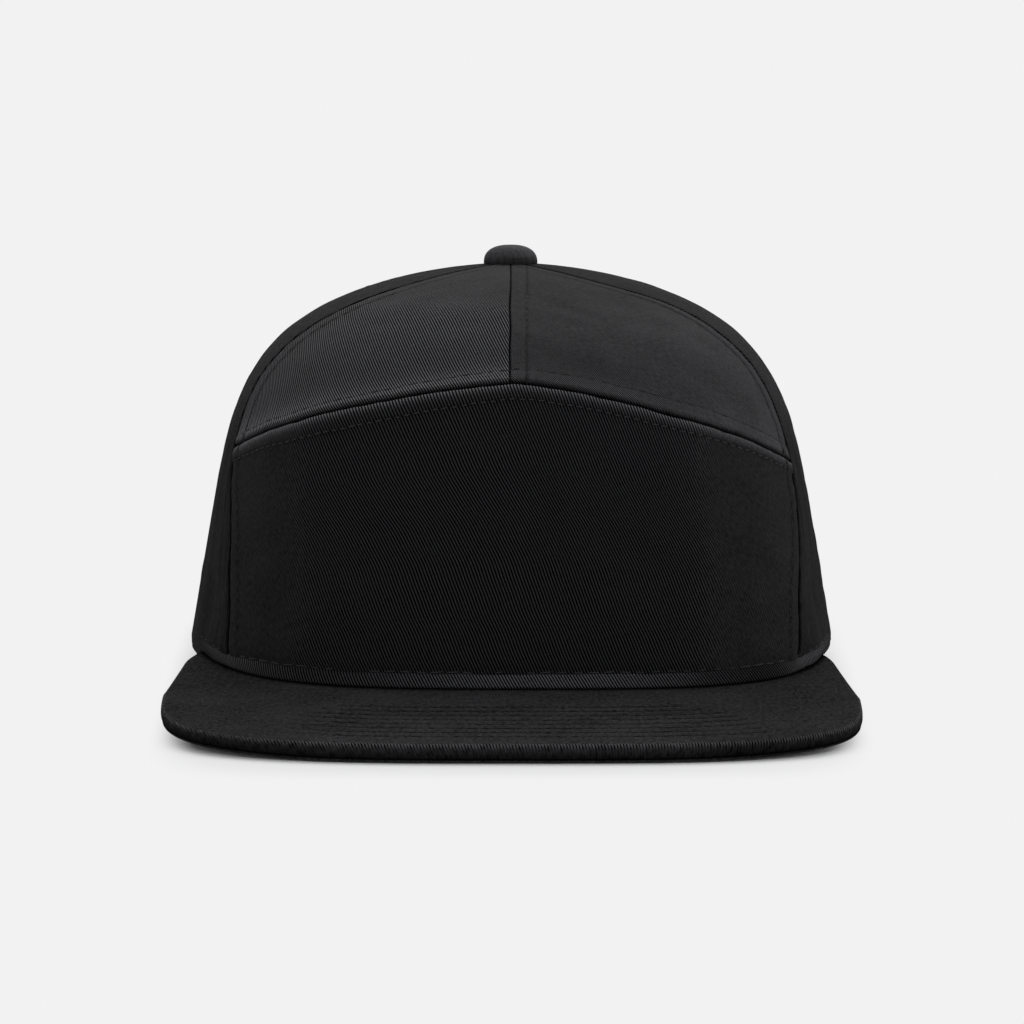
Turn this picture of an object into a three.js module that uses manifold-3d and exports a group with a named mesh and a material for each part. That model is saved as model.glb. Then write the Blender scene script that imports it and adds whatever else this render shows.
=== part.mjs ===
// Seven-panel snapback cap: millimetres, +Z up, the visor points towards -Y, left is -X
import * as THREE from 'three';
import Module from 'manifold-3d';
import { mergeVertices } from 'three/addons/utils/BufferGeometryUtils.js';

const { degToRad, lerp, clamp, smoothstep } = THREE.MathUtils;

// Cloth and gaps
const clothThickness = 1.6;
const pieceGap = 0.3;
const seamGap = 0.4;

// Crown: reach is measured from the crown's axis at the rim, height is where the button sits
const crown = {
  halfWidth: 87,
  frontReach: 98.5,
  backReach: 98,
  height: 109.2,
  setback: 3,
  leanDeg: 3,
  openRadiusShare: 0.9996,
};

// Roundness of the plan: 2 is an ellipse, more is squarer
const plan = { frontLeft: 3.1, frontRight: 3.8, back: 2.3, top: 2.3 };

// Meridian: taper is how far the wall leans in, shoulder how square it turns into the top
const meridian = {
  side: { taper: 0.196, shoulder: 7.2 },
  front: { taper: 0.147, shoulder: 6.7 },
  back: { taper: 0.098, shoulder: 4.7 },
  taperPower: 0.94,
  capPower: 1.7,
};

// Seams, degrees round from the front at a share of the crown's height
const seams = [
  { share: 0.0, left: 46.0, right: 44.4, back: 113 },
  { share: 0.16, left: 47.7, right: 46.7, back: 113 },
  { share: 0.35, left: 51.7, right: 51.2, back: 114 },
  { share: 0.5, left: 56.4, right: 53.5, back: 115 },
  { share: 0.7, left: 58.1, right: 54.3, back: 116 },
  { share: 0.82, left: 55.6, right: 53.7, back: 117 },
  { share: 0.91, left: 50.5, right: 50.2, back: 118 },
  { share: 0.96, left: 45.0, right: 41.0, back: 119 },
  { share: 1.0, left: 40.0, right: 33.0, back: 120 },
];

// Arched seam between the low front panel and the two panels above it
const arch = { topShare: 0.7355, dropLeft: 0.1587, dropRight: 0.207, atDeg: 50, power: 1.65 };

// Soft creases pressed into the cloth, degrees and shares of the height
const creases = [
  { angle: -56, share: 0.12, halfAngle: 4, halfShare: 0.1, depth: 1.2 },
  { angle: 57, share: 0.15, halfAngle: 5, halfShare: 0.12, depth: 1.5 },
  { angle: 47, share: 0.03, halfAngle: 3, halfShare: 0.04, depth: 1.0 },
];

// Visor: a flat board whose front edge and the rear rim stand on one plane
const visor = {
  frontY: -167.2,
  tipY: -50,
  thickness: 4.8,
  slopeDeg: 2.9,
  sidePower: 0.92,
  bevel: 1.2,
  left: { halfWidth: 89.9, widestY: -103.2, tipX: 85, roundness: 3.2 },
  right: { halfWidth: 90.3, widestY: -108, tipX: 84.3, roundness: 3.5 },
};
const rimFall = { fromY: -42, toY: 50, power: 2.7 };

// Half-moon opening at the back, and the two plastic straps that close it
const opening = { halfDeg: 27.5, topShare: 0.46 };
const strap = {
  bendRadius: 96,
  backRise: 104,
  bottom: 1,
  height: 20,
  thickness: 1.2,
  sewnEnd: 57,
  freeEnd: 34,
  endRound: 9,
  pitch: 9,
  count: 7,
  holeRadius: 2.8,
  studRadius: 2.2,
  studProud: 0.6,
  stepStart: 40,
  stepEnd: 54,
};

const sweatband = { height: 32, thickness: 1.2, endDeg: 148, easeDeg: 134, lift: 1, gap: 0.5, endInset: 2 };
const button = {
  radius: 7.2,
  height: 4.9,
  shoulder: 1,
  roundness: 2.8,
  undercut: 0.4,
  postRadius: 1.2,
  washerRadius: 5,
  washer: 0.8,
  tiltDeg: 3,
};

const finishes = {
  twill: { color: 0x1c1c1e, roughness: 0.9, metalness: 0 },
  lining: { color: 0x19191a, roughness: 0.95, metalness: 0 },
  plastic: { color: 0x161617, roughness: 0.45, metalness: 0 },
};

const slope = Math.tan(degToRad(visor.slopeDeg));
const lean = Math.tan(degToRad(crown.leanDeg));

// Smooth curve through one column of a table
function along(table, column, share) {
  let i = 0;
  while (i < table.length - 2 && share > table[i + 1].share) i += 1;
  const rise = (a, b) => (table[b][column] - table[a][column]) / (table[b].share - table[a].share);
  const step = table[i + 1].share - table[i].share;
  const startSlope = rise(Math.max(i - 1, 0), i + 1);
  const endSlope = rise(i, Math.min(i + 2, table.length - 1));
  const t = clamp((share - table[i].share) / step, 0, 1);
  const p0 = table[i][column];
  const p1 = table[i + 1][column];
  const bend = (1 - t) * startSlope * step - t * endSlope * step + (2 * t - 1) * (p1 - p0);
  return lerp(p0, p1, t) + t * (1 - t) * bend;
}

const leftSeam = (share) => -degToRad(along(seams, 'left', share));
const rightSeam = (share) => degToRad(along(seams, 'right', share));
const backSeam = (share) => degToRad(along(seams, 'back', share));

function archShare(angle) {
  const drop = angle < 0 ? arch.dropLeft : arch.dropRight;
  return arch.topShare - drop * (Math.abs(angle) / degToRad(arch.atDeg)) ** arch.power;
}

// Visor's top at the centre line, and the rim that sits on it and falls to the ground behind it
const visorBottom = (y) => (y - visor.frontY) * slope;
const visorTop = (y) => visorBottom(y) + visor.thickness;

function rimHeight(y) {
  const fall = clamp((y - rimFall.fromY) / (rimFall.toY - rimFall.fromY), 0, 1);
  const seat = visorTop(Math.min(y, visor.tipY)) + pieceGap;
  return seat * (1 - fall) ** rimFall.power;
}

function planRadius(angle, share) {
  const ahead = Math.cos(angle);
  const front = Math.sin(angle) < 0 ? plan.frontLeft : plan.frontRight;
  const power = lerp(ahead > 0 ? front : plan.back, plan.top, share ** 2);
  const reach = ahead > 0 ? crown.frontReach : crown.backReach;
  const across = Math.abs(Math.sin(angle) / crown.halfWidth) ** power;
  return (across + Math.abs(ahead / reach) ** power) ** (-1 / power);
}

function blended(angle, name) {
  const ahead = Math.max(Math.cos(angle), 0) ** 2;
  const behind = Math.max(-Math.cos(angle), 0) ** 2;
  const { side, front, back } = meridian;
  return side[name] + ahead * (front[name] - side[name]) + behind * (back[name] - side[name]);
}

// Outer face of the smooth crown at an angle round from the front and a share of the height
function crownSkin(angle, share) {
  const taper = 1 - blended(angle, 'taper') * share ** meridian.taperPower;
  const cap = (1 - share ** blended(angle, 'shoulder')) ** (1 / meridian.capPower);
  const radius = planRadius(angle, share) * taper * cap;
  const x = radius * Math.sin(angle);
  const y = crown.setback * share - radius * Math.cos(angle);
  const rim = rimHeight(-planRadius(angle, 0) * Math.cos(angle));
  const z = lerp(rim, crown.height, share) + lean * (crown.setback * share - y) * share;
  return new THREE.Vector3(x, y, z);
}

function crownNormal(angle, share) {
  const stepAngle = 1e-4;
  const stepShare = 1e-5;
  const around = crownSkin(angle + stepAngle, share).sub(crownSkin(angle - stepAngle, share));
  const low = Math.max(share - stepShare, 0);
  const up = crownSkin(angle, share + stepShare).sub(crownSkin(angle, low));
  return around.cross(up).normalize();
}

function creaseDepth(angle, share) {
  return creases.reduce((sum, crease) => {
    const across = (angle - degToRad(crease.angle)) / degToRad(crease.halfAngle);
    const up = (share - crease.share) / crease.halfShare;
    return sum + crease.depth * Math.exp(-across * across - up * up);
  }, 0);
}

// A point inset from the crown's outer face; the rim's own edge stays level
function crownPoint(angle, share, inset) {
  const normal = crownNormal(angle, share);
  const depth = inset + creaseDepth(angle, share);
  const point = crownSkin(angle, share);
  const rim = point.z;
  point.addScaledVector(normal, -depth);
  if (share === 0) point.z = rim;
  return point;
}

// Closed wall between two grids of points, rows of columns, the outer grid facing out
function wallGeometry(outer, inner) {
  const points = [];
  const quad = (a, b, c, d) => points.push(a, b, c, a, c, d);
  const top = outer.length - 1;
  const end = outer[0].length - 1;
  for (let j = 0; j < top; j += 1) {
    for (let i = 0; i < end; i += 1) {
      quad(outer[j][i], outer[j][i + 1], outer[j + 1][i + 1], outer[j + 1][i]);
      quad(inner[j][i], inner[j + 1][i], inner[j + 1][i + 1], inner[j][i + 1]);
    }
    quad(outer[j][0], outer[j + 1][0], inner[j + 1][0], inner[j][0]);
    quad(outer[j][end], inner[j][end], inner[j + 1][end], outer[j + 1][end]);
  }
  for (let i = 0; i < end; i += 1) {
    quad(outer[0][i], inner[0][i], inner[0][i + 1], outer[0][i + 1]);
    quad(outer[top][i], outer[top][i + 1], inner[top][i + 1], inner[top][i]);
  }
  return new THREE.BufferGeometry().setFromPoints(points);
}

// Even steps of climb up the meridian, which bunch the shares towards the top
const climbPower = 1.8;
const climbOf = (share) => 1 - (1 - share) ** (1 / climbPower);
const shareOf = (climb) => 1 - (1 - climb) ** climbPower;
const evenSteps = (count) => Array.from({ length: count + 1 }, (_, i) => i / count);

// A sewn panel between two seams and two levels; trims keep the gap to its neighbours
function panelGeometry({ left, right, bottom, top, columns, steps }) {
  const grid = (inset) => steps.map((step) => evenSteps(columns).map((across) => {
    let share = lerp(bottom(0), top(0), step);
    let angle = 0;
    for (let pass = 0; pass < 8; pass += 1) {
      angle = lerp(left(share), right(share), across);
      share = shareOf(lerp(climbOf(bottom(angle)), climbOf(top(angle)), step));
    }
    const flat = crownSkin(angle, share);
    const radius = Math.hypot(flat.x, flat.y - crown.setback * share);
    const trim = ((1 - 2 * across) * seamGap) / 2 / radius;
    return crownPoint(angle + trim, share, inset);
  }));
  return wallGeometry(grid(0), grid(clothThickness));
}

const atRim = () => 0;
const atButton = () => crown.openRadiusShare;
const archTrim = 0.0015;
const centreFront = () => 0;

const rowsBelowArch = 11;
const rowsAboveArch = 13;

function frontPanel() {
  const top = (angle) => archShare(angle) - archTrim;
  const steps = evenSteps(rowsBelowArch);
  return panelGeometry({ left: leftSeam, right: rightSeam, bottom: atRim, top, columns: 18, steps });
}

function upperFrontPanel(isLeft) {
  const left = isLeft ? leftSeam : centreFront;
  const right = isLeft ? centreFront : rightSeam;
  const bottom = (angle) => archShare(angle) + archTrim;
  const steps = evenSteps(rowsAboveArch);
  return panelGeometry({ left, right, bottom, top: atButton, columns: 9, steps });
}

// Rows of two runs that meet at one share of the height
function splitSteps(share, lowSteps, highSteps) {
  const middle = climbOf(share) / climbOf(crown.openRadiusShare);
  const high = highSteps.slice(1).map((t) => lerp(middle, 1, t));
  return [...lowSteps.map((t) => t * middle), ...high];
}

// The side panel's rows meet those of the two panels in front of it along their seam
function sidePanel(isLeft) {
  const frontSeam = isLeft ? leftSeam : rightSeam;
  let archEnd = arch.topShare;
  for (let pass = 0; pass < 20; pass += 1) archEnd = archShare(frontSeam(archEnd));
  const steps = splitSteps(archEnd, evenSteps(rowsBelowArch), evenSteps(rowsAboveArch));
  const left = isLeft ? (share) => -backSeam(share) : rightSeam;
  const right = isLeft ? leftSeam : backSeam;
  return panelGeometry({ left, right, bottom: atRim, top: atButton, columns: 12, steps });
}

// The back panel's inner edge follows the half-moon opening, then the centre back seam
function backPanel(isLeft) {
  const openAngle = (share) => {
    const rise = Math.min(share / opening.topShare, 1);
    return Math.PI - degToRad(opening.halfDeg) * Math.sqrt(1 - rise ** 2);
  };
  const left = isLeft ? (share) => -openAngle(share) : backSeam;
  const right = isLeft ? (share) => -backSeam(share) : openAngle;
  const openSteps = evenSteps(9).map((t) => (
    climbOf(opening.topShare * Math.sin((t * Math.PI) / 2)) / climbOf(opening.topShare)
  ));
  const steps = splitSteps(opening.topShare, openSteps, evenSteps(14));
  return panelGeometry({ left, right, bottom: atRim, top: atButton, columns: 10, steps });
}

// Visor outline: a squared half oval in front, then sides that narrow to the tips
class VisorEdge extends THREE.Curve {
  getPoint(t) {
    const around = (t - 0.5) * 2;
    const side = Math.sign(around) || 1;
    const { halfWidth, widestY, tipX, roundness } = side < 0 ? visor.left : visor.right;
    const frontPart = 0.72;
    if (Math.abs(around) <= frontPart) {
      const turn = (Math.abs(around) / frontPart) * (Math.PI / 2);
      const x = halfWidth * Math.sin(turn) ** (2 / roundness);
      const depth = widestY - visor.frontY;
      return new THREE.Vector3(side * x, widestY - depth * Math.cos(turn) ** (2 / roundness), 0);
    }
    const back = (Math.abs(around) - frontPart) / (1 - frontPart);
    const x = lerp(halfWidth, tipX, back ** visor.sidePower);
    return new THREE.Vector3(side * x, lerp(widestY, visor.tipY, back), 0);
  }
}

function visorBoard() {
  const columns = 56;
  const outline = new VisorEdge();
  outline.arcLengthDivisions = 2000;
  const edge = outline.getSpacedPoints(columns);
  const tipAngle = (tip) => Math.atan2(tip.tipX, -visor.tipY);
  const inner = evenSteps(columns).map((t) => {
    const angle = lerp(-tipAngle(visor.left), tipAngle(visor.right), t);
    const reach = planRadius(angle, 0) - clothThickness;
    return new THREE.Vector3(reach * Math.sin(angle), -reach * Math.cos(angle), 0);
  });
  const inward = edge.map((point, i) => inner[i].clone().sub(point).normalize());
  const rows = [
    { across: 0, inset: 0, drop: visor.bevel },
    { across: 0, inset: visor.bevel, drop: 0 },
    { across: 0.35, inset: 0, drop: 0 },
    { across: 0.7, inset: 0, drop: 0 },
    { across: 1, inset: 0, drop: 0 },
  ];
  const sheet = (level, fold) => rows.map((row) => edge.map((point, i) => {
    const place = point.clone().lerp(inner[i], row.across);
    const room = point.distanceTo(inner[i]) / 3;
    place.addScaledVector(inward[i], Math.min(row.inset, room));
    place.z = level(place.y) - fold * row.drop;
    return place;
  }));
  return wallGeometry(sheet(visorTop, 1), sheet(visorBottom, -1));
}

function sweatbandRing() {
  const angles = evenSteps(60).map((t) => degToRad(lerp(-sweatband.endDeg, sweatband.endDeg, t)));
  const low = sweatband.lift / crown.height;
  const high = sweatband.height / crown.height;
  const grid = (depth) => evenSteps(3).map((step) => angles.map((angle) => {
    const ease = smoothstep(Math.abs(angle), degToRad(sweatband.easeDeg), degToRad(sweatband.endDeg));
    const inset = clothThickness + sweatband.gap + ease * sweatband.endInset + depth;
    return crownPoint(angle, lerp(low, high, step), inset);
  }));
  return wallGeometry(grid(0), grid(sweatband.thickness));
}

// A strap bent round the back of the rim, with a square sewn end and a round free end
function strapWall(sewnX, freeX, insetAt) {
  const towards = Math.sign(freeX - sewnX);
  const roundStart = freeX - towards * strap.endRound;
  const straight = evenSteps(14).map((t) => lerp(sewnX, roundStart, t));
  const turning = evenSteps(5).slice(1).map((t) => Math.sin((t * Math.PI) / 2));
  const places = [...straight, ...turning.map((t) => roundStart + towards * strap.endRound * t)];
  if (towards > 0) places.reverse();
  const halfHeight = (x) => {
    const past = clamp(Math.abs(x - roundStart) / strap.endRound, 0, 1);
    const round = Math.abs(x - sewnX) < Math.abs(roundStart - sewnX) ? 0 : past;
    return strap.height / 2 - strap.endRound * (1 - Math.sqrt(1 - round ** 2));
  };
  const grid = (depth) => [-1, 0, 1].map((side) => places.map((x) => {
    const share = (strap.bottom + strap.height / 2 + side * halfHeight(x)) / strap.backRise;
    return crownPoint(Math.PI - x / strap.bendRadius, share, insetAt(x) + depth);
  }));
  return wallGeometry(grid(0), grid(strap.thickness));
}

// Round pins square to the back of the rim, one for each hole, between two depths
function strapPins(radius, outerDepth, innerDepth) {
  const middle = (strap.count - 1) / 2;
  const share = (strap.bottom + strap.height / 2) / strap.backRise;
  return Array.from({ length: strap.count }, (_, i) => {
    const angle = Math.PI - ((i - middle) * strap.pitch) / strap.bendRadius;
    const pin = new THREE.CylinderGeometry(radius, radius, innerDepth - outerDepth, 10);
    const normal = crownNormal(angle, share);
    const turn = new THREE.Quaternion().setFromUnitVectors(new THREE.Vector3(0, 1, 0), normal);
    const centre = crownPoint(angle, share, (outerDepth + innerDepth) / 2);
    return pin.applyQuaternion(turn).translate(...centre.toArray());
  });
}

const strapInset = clothThickness + pieceGap;
const strapLayer = strap.thickness + pieceGap;

function strapWithHoles(solids) {
  const strip = strapWall(strap.sewnEnd, -strap.freeEnd, () => strapInset);
  const reach = 2 * strap.thickness;
  return solids.cut(strip, strapPins(strap.holeRadius, strapInset - reach, strapInset + reach));
}

// The strap with studs is sewn beside the panel and steps in behind the other strap
function strapWithStuds(solids) {
  const insetAt = (x) => strapInset + strapLayer * smoothstep(x, -strap.stepEnd, -strap.stepStart);
  const strip = strapWall(-strap.sewnEnd, strap.freeEnd, insetAt);
  const root = strapInset + strapLayer + strap.thickness / 2;
  return solids.joined(strip, strapPins(strap.studRadius, strapInset - strap.studProud, root));
}

// Cloth-covered button with its post and inner washer, turned as one plain piece
function crownButton() {
  const { radius, height, shoulder, roundness, undercut, postRadius, washerRadius, washer } = button;
  const turns = evenSteps(8).map((t) => (1 - t) * (Math.PI / 2));
  const squared = (value) => Math.max(value, 0) ** (2 / roundness);
  const dome = turns.map((turn) => new THREE.Vector2(
    radius * squared(Math.sin(turn)), shoulder + (height - shoulder) * squared(Math.cos(turn)),
  ));
  const washerTop = -clothThickness - pieceGap;
  const profile = [
    new THREE.Vector2(0, washerTop - washer),
    new THREE.Vector2(washerRadius, washerTop - washer),
    new THREE.Vector2(washerRadius, washerTop),
    new THREE.Vector2(postRadius, washerTop),
    new THREE.Vector2(postRadius, pieceGap),
    new THREE.Vector2(radius - undercut, pieceGap),
    ...dome,
  ];
  return new THREE.LatheGeometry(profile, 24).rotateX(Math.PI / 2);
}

// Joins round pins to a closed mesh, or cuts them out of it
async function solidTools() {
  const wasm = await Module();
  wasm.setup();
  const toSolid = (source) => {
    const geometry = source.clone();
    geometry.deleteAttribute('normal');
    geometry.deleteAttribute('uv');
    const merged = mergeVertices(geometry, 1e-4);
    const vertProperties = new Float32Array(merged.attributes.position.array);
    const triVerts = new Uint32Array(merged.index.array);
    return new wasm.Manifold(new wasm.Mesh({ numProp: 3, vertProperties, triVerts }));
  };
  const toGeometry = (solid) => {
    const { numProp, vertProperties, triVerts } = solid.getMesh();
    const geometry = new THREE.BufferGeometry();
    const positions = new THREE.InterleavedBuffer(vertProperties, numProp);
    geometry.setAttribute('position', new THREE.InterleavedBufferAttribute(positions, 3, 0));
    geometry.setIndex(new THREE.BufferAttribute(triVerts, 1));
    return geometry;
  };
  const joined = (body, pins) => toGeometry(pins.map(toSolid).reduce((a, b) => a.add(b), toSolid(body)));
  const cut = (body, pins) => toGeometry(pins.map(toSolid).reduce((a, b) => a.subtract(b), toSolid(body)));
  return { joined, cut };
}

function named(name, geometry, finish) {
  const mesh = new THREE.Mesh(geometry, new THREE.MeshStandardMaterial(finish));
  mesh.name = name;
  return mesh;
}

const solids = await solidTools();
const cap = new THREE.Group();

cap.add(named('front_panel', frontPanel(), finishes.twill));
for (const isLeft of [true, false]) {
  const side = isLeft ? 'left' : 'right';
  cap.add(named(`upper_front_panel_${side}`, upperFrontPanel(isLeft), finishes.twill));
  cap.add(named(`side_panel_${side}`, sidePanel(isLeft), finishes.twill));
  cap.add(named(`back_panel_${side}`, backPanel(isLeft), finishes.twill));
}
cap.add(named('visor', visorBoard(), finishes.twill));
cap.add(named('sweatband', sweatbandRing(), finishes.lining));
cap.add(named('strap_with_holes', strapWithHoles(solids), finishes.plastic));
cap.add(named('strap_with_studs', strapWithStuds(solids), finishes.plastic));

const topButton = named('button', crownButton(), finishes.twill);
topButton.position.copy(crownSkin(0, 1));
topButton.rotation.x = -degToRad(button.tiltDeg);
cap.add(topButton);

// The origin is the middle of the cap's box, on the ground
const box = new THREE.Box3().setFromObject(cap);
cap.position.set(-(box.min.x + box.max.x) / 2, -(box.min.y + box.max.y) / 2, -box.min.z);

export default cap;
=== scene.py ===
# Seven-panel snapback cap in black cotton twill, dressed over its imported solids.
# Shapes are worked out in millimetres round the crown's axis and put into meshes in metres.
import math

import bpy
import numpy as np
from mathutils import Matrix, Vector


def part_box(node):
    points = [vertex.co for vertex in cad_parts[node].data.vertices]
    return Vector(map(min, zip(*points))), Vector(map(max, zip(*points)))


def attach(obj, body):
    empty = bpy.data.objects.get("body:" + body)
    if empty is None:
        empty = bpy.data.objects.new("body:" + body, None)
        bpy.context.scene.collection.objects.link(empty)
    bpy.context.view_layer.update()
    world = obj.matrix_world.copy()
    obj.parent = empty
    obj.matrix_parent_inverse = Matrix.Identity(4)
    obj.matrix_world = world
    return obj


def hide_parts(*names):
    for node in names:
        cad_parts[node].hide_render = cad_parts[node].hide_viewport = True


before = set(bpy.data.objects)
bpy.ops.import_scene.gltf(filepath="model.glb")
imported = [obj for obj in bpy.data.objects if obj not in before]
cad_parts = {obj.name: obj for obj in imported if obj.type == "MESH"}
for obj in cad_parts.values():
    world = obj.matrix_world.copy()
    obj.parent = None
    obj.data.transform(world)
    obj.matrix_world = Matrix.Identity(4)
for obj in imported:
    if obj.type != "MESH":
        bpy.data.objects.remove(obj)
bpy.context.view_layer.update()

mm = 0.001
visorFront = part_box("visor")[0].y / mm  # the visor's front edge in the frame
buttonEnds = [corner.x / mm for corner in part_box("button")]

cloth = {"wall": 1.6}

crown = {
    "halfWidth": 87.0, "frontReach": 98.5, "backReach": 98.0, "height": 109.2,
    "setback": 3.0, "lean": 3.0, "openShare": 0.9996,
}
plan = {"frontLeft": 3.1, "frontRight": 3.8, "back": 2.3, "top": 2.3}
meridian = {
    "taper": {"side": 0.196, "front": 0.147, "back": 0.098},
    "shoulder": {"side": 7.2, "front": 6.7, "back": 4.7},
    "taperPower": 0.94, "capPower": 1.7,
}
seams = {  # degrees round from the front, at shares of the height
    "wobble": 0.25, "wobbles": 17,  # how far a sewn line strays, in degrees, and how quickly
    "share": [0.0, 0.16, 0.35, 0.5, 0.7, 0.82, 0.91, 0.96, 1.0],
    "left": [46.0, 47.7, 51.7, 56.4, 58.1, 55.6, 50.5, 45.0, 40.0],
    "right": [44.4, 46.7, 51.2, 53.5, 54.3, 53.7, 50.2, 41.0, 33.0],
    "back": [113, 113, 114, 115, 116, 117, 118, 119, 120],
}
arch = {"top": 0.7355, "dropLeft": 0.1587, "dropRight": 0.207, "at": 50.0, "power": 1.65,
        "waver": 0.0022, "wavers": 9}
creases = [  # soft folds pressed into the cloth, in degrees, shares of the height and mm
    {"angle": -56, "share": 0.12, "halfAngle": 4, "halfShare": 0.1, "depth": 1.2},
    {"angle": 57, "share": 0.15, "halfAngle": 5, "halfShare": 0.12, "depth": 1.5},
    {"angle": 47, "share": 0.03, "halfAngle": 3, "halfShare": 0.04, "depth": 1.0},
]
visor = {
    "frontY": -167.2, "tipY": -50.0, "thickness": 4.8, "slope": 2.9, "sidePower": 0.92,
    "left": {"halfWidth": 89.9, "widestY": -103.2, "tipX": 85.0, "roundness": 3.2},
    "right": {"halfWidth": 90.3, "widestY": -108.0, "tipX": 84.3, "roundness": 3.5},
}
rimFall = {"fromY": -42.0, "toY": 50.0, "power": 2.7}
pieceGap = 0.3
axisX = sum(buttonEnds) / 2  # where the crown's axis stands in the frame
axisY = visorFront - visor["frontY"]
fullWave = 6.28  # radians in one wave, near enough for cloth


def alongTable(column, share):
    # cubic through the column's values, each slope taken from the two neighbours
    xs, ys = np.array(seams["share"]), np.array(seams[column], float)
    before, after = np.maximum(np.arange(len(xs)) - 1, 0), np.minimum(np.arange(len(xs)) + 1, len(xs) - 1)
    slopes = (ys[after] - ys[before]) / (xs[after] - xs[before])
    i = np.clip(np.searchsorted(xs, share, side="right") - 1, 0, len(xs) - 2)
    step = xs[i + 1] - xs[i]
    t = np.clip((share - xs[i]) / step, 0, 1)
    rise = ys[i + 1] - ys[i]
    bend = (1 - t) * slopes[i] * step - t * slopes[i + 1] * step + (2 * t - 1) * rise
    return ys[i] + t * rise + t * (1 - t) * bend


def smooth(x, low, high):
    # eases from 0 at low to 1 at high
    t = np.clip((x - low) / (high - low), 0, 1)
    return t * t * (3 - 2 * t)


def bell(distance, width):
    return np.exp(-(distance / width) ** 2)


def squaredOff(wave, power):
    # a sine or cosine bent so that its circle turns into a squared oval
    return np.sign(wave) * np.abs(wave) ** (2 / power)


def wander(along, seed):
    # a slow wave between -1 and 1 made of three sines whose lengths share no beat
    second, third = 0.6 * np.sin(2.37 * along + 1.7 * seed), 0.4 * np.sin(4.13 * along - seed)
    return (np.sin(along + seed) + second + third) / 2


def seamWobble(share, seed):
    return np.radians(seams["wobble"]) * wander(share * seams["wobbles"], seed)


def seamLine(column, side, seed):
    # gives a seam's angle as a function of the share: its column, on the left (-1) or right (1), and a wobble
    def angleAt(share):
        return side * np.radians(alongTable(column, share)) + seamWobble(share, seed)

    return angleAt


leftSeam, rightSeam = seamLine("left", -1, 1.0), seamLine("right", 1, 2.0)
backLeftSeam, backRightSeam = seamLine("back", -1, 4.0), seamLine("back", 1, 5.0)


def centreSeam(share):
    return seamWobble(share, 3.0) * 1.4  # strays a little more than the others


def archShare(angle):
    # the arch falls from its top as a power of the angle, more on the right than on the left
    drop = np.where(angle < 0, arch["dropLeft"], arch["dropRight"])
    fall = drop * (np.abs(angle) / math.radians(arch["at"])) ** arch["power"]
    return arch["top"] - fall + arch["waver"] * wander(angle * arch["wavers"], 0.5)


visorSlope = math.tan(math.radians(visor["slope"]))


def visorTop(y):
    return (y - visor["frontY"]) * visorSlope + visor["thickness"]


def rimHeight(y):
    # the rim sits on the visor, then falls to the ground behind the visor's tips
    fall = np.clip((y - rimFall["fromY"]) / (rimFall["toY"] - rimFall["fromY"]), 0, 1)
    seat = visorTop(np.minimum(y, visor["tipY"])) + pieceGap
    return seat * (1 - fall) ** rimFall["power"]


def planRadius(angle, share):
    # polar form of a squared oval whose power eases to an ellipse's at the top
    ahead = np.cos(angle)
    front = np.where(np.sin(angle) < 0, plan["frontLeft"], plan["frontRight"])
    rim = np.where(ahead > 0, front, plan["back"])
    power = rim + (plan["top"] - rim) * share ** 2
    reach = np.where(ahead > 0, crown["frontReach"], crown["backReach"])
    across = np.abs(np.sin(angle) / crown["halfWidth"]) ** power
    return (across + np.abs(ahead / reach) ** power) ** (-1 / power)


def rimAt(angle):
    # the rim's height, by the angle round from the front
    return rimHeight(-planRadius(angle, 0 * angle) * np.cos(angle))


def blended(angle, name):
    # one of the meridian's values, eased from the side's to the front's and the back's
    ahead, behind = np.maximum(np.cos(angle), 0) ** 2, np.maximum(-np.cos(angle), 0) ** 2
    kind = meridian[name]
    return kind["side"] + ahead * (kind["front"] - kind["side"]) + behind * (kind["back"] - kind["side"])


def crownSkin(angle, share):
    # plan radius times a leaning wall times a cap that closes at the top; the whole leans back
    taper = 1 - blended(angle, "taper") * share ** meridian["taperPower"]
    cap = np.maximum(1 - share ** blended(angle, "shoulder"), 0) ** (1 / meridian["capPower"])
    radius = planRadius(angle, share) * taper * cap
    y = crown["setback"] * share - radius * np.cos(angle)
    rim = rimAt(angle)
    lean = math.tan(math.radians(crown["lean"]))
    z = rim + (crown["height"] - rim) * share + lean * (crown["setback"] * share - y) * share
    return np.stack([radius * np.sin(angle), y, z], -1)


def unit(vectors):
    return vectors / np.maximum(np.linalg.norm(vectors, axis=-1, keepdims=True), 1e-12)


def crownSlopes(angle, share):
    # how the skin moves for a small turn and for a small climb
    turn, climb = 1e-4, 1e-5
    low = np.maximum(share - climb, 0)
    around = (crownSkin(angle + turn, share) - crownSkin(angle - turn, share)) / (2 * turn)
    up = (crownSkin(angle, share + climb) - crownSkin(angle, low)) / (share + climb - low)[..., None]
    return around, up


def crownNormal(angle, share):
    around, up = crownSlopes(angle, share)
    return unit(np.cross(around, up))


def creaseDepth(angle, share):
    # each fold is a bell in the angle times a bell in the height
    depth = 0 * angle
    for fold in creases:
        across = (angle - math.radians(fold["angle"])) / math.radians(fold["halfAngle"])
        upwards = (share - fold["share"]) / fold["halfShare"]
        depth = depth + fold["depth"] * np.exp(-across ** 2 - upwards ** 2)
    return depth


def crownPoint(angle, share, inset):
    # the place that lies the inset, in mm, below the creased skin
    depth = inset + creaseDepth(angle, share)
    return crownSkin(angle, share) - crownNormal(angle, share) * np.asarray(depth)[..., None]


# Meshes
def gridFaces(rows, columns, closed=False):
    # quads of a grid numbered row by row; a closed grid joins its last column to its first
    j, i = np.meshgrid(np.arange(rows - 1), np.arange(columns if closed else columns - 1), indexing="ij")
    right = (i + 1) % columns
    return np.stack([j * columns + i, j * columns + right, (j + 1) * columns + right, (j + 1) * columns + i],
                    -1).reshape(-1, 4)


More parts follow.
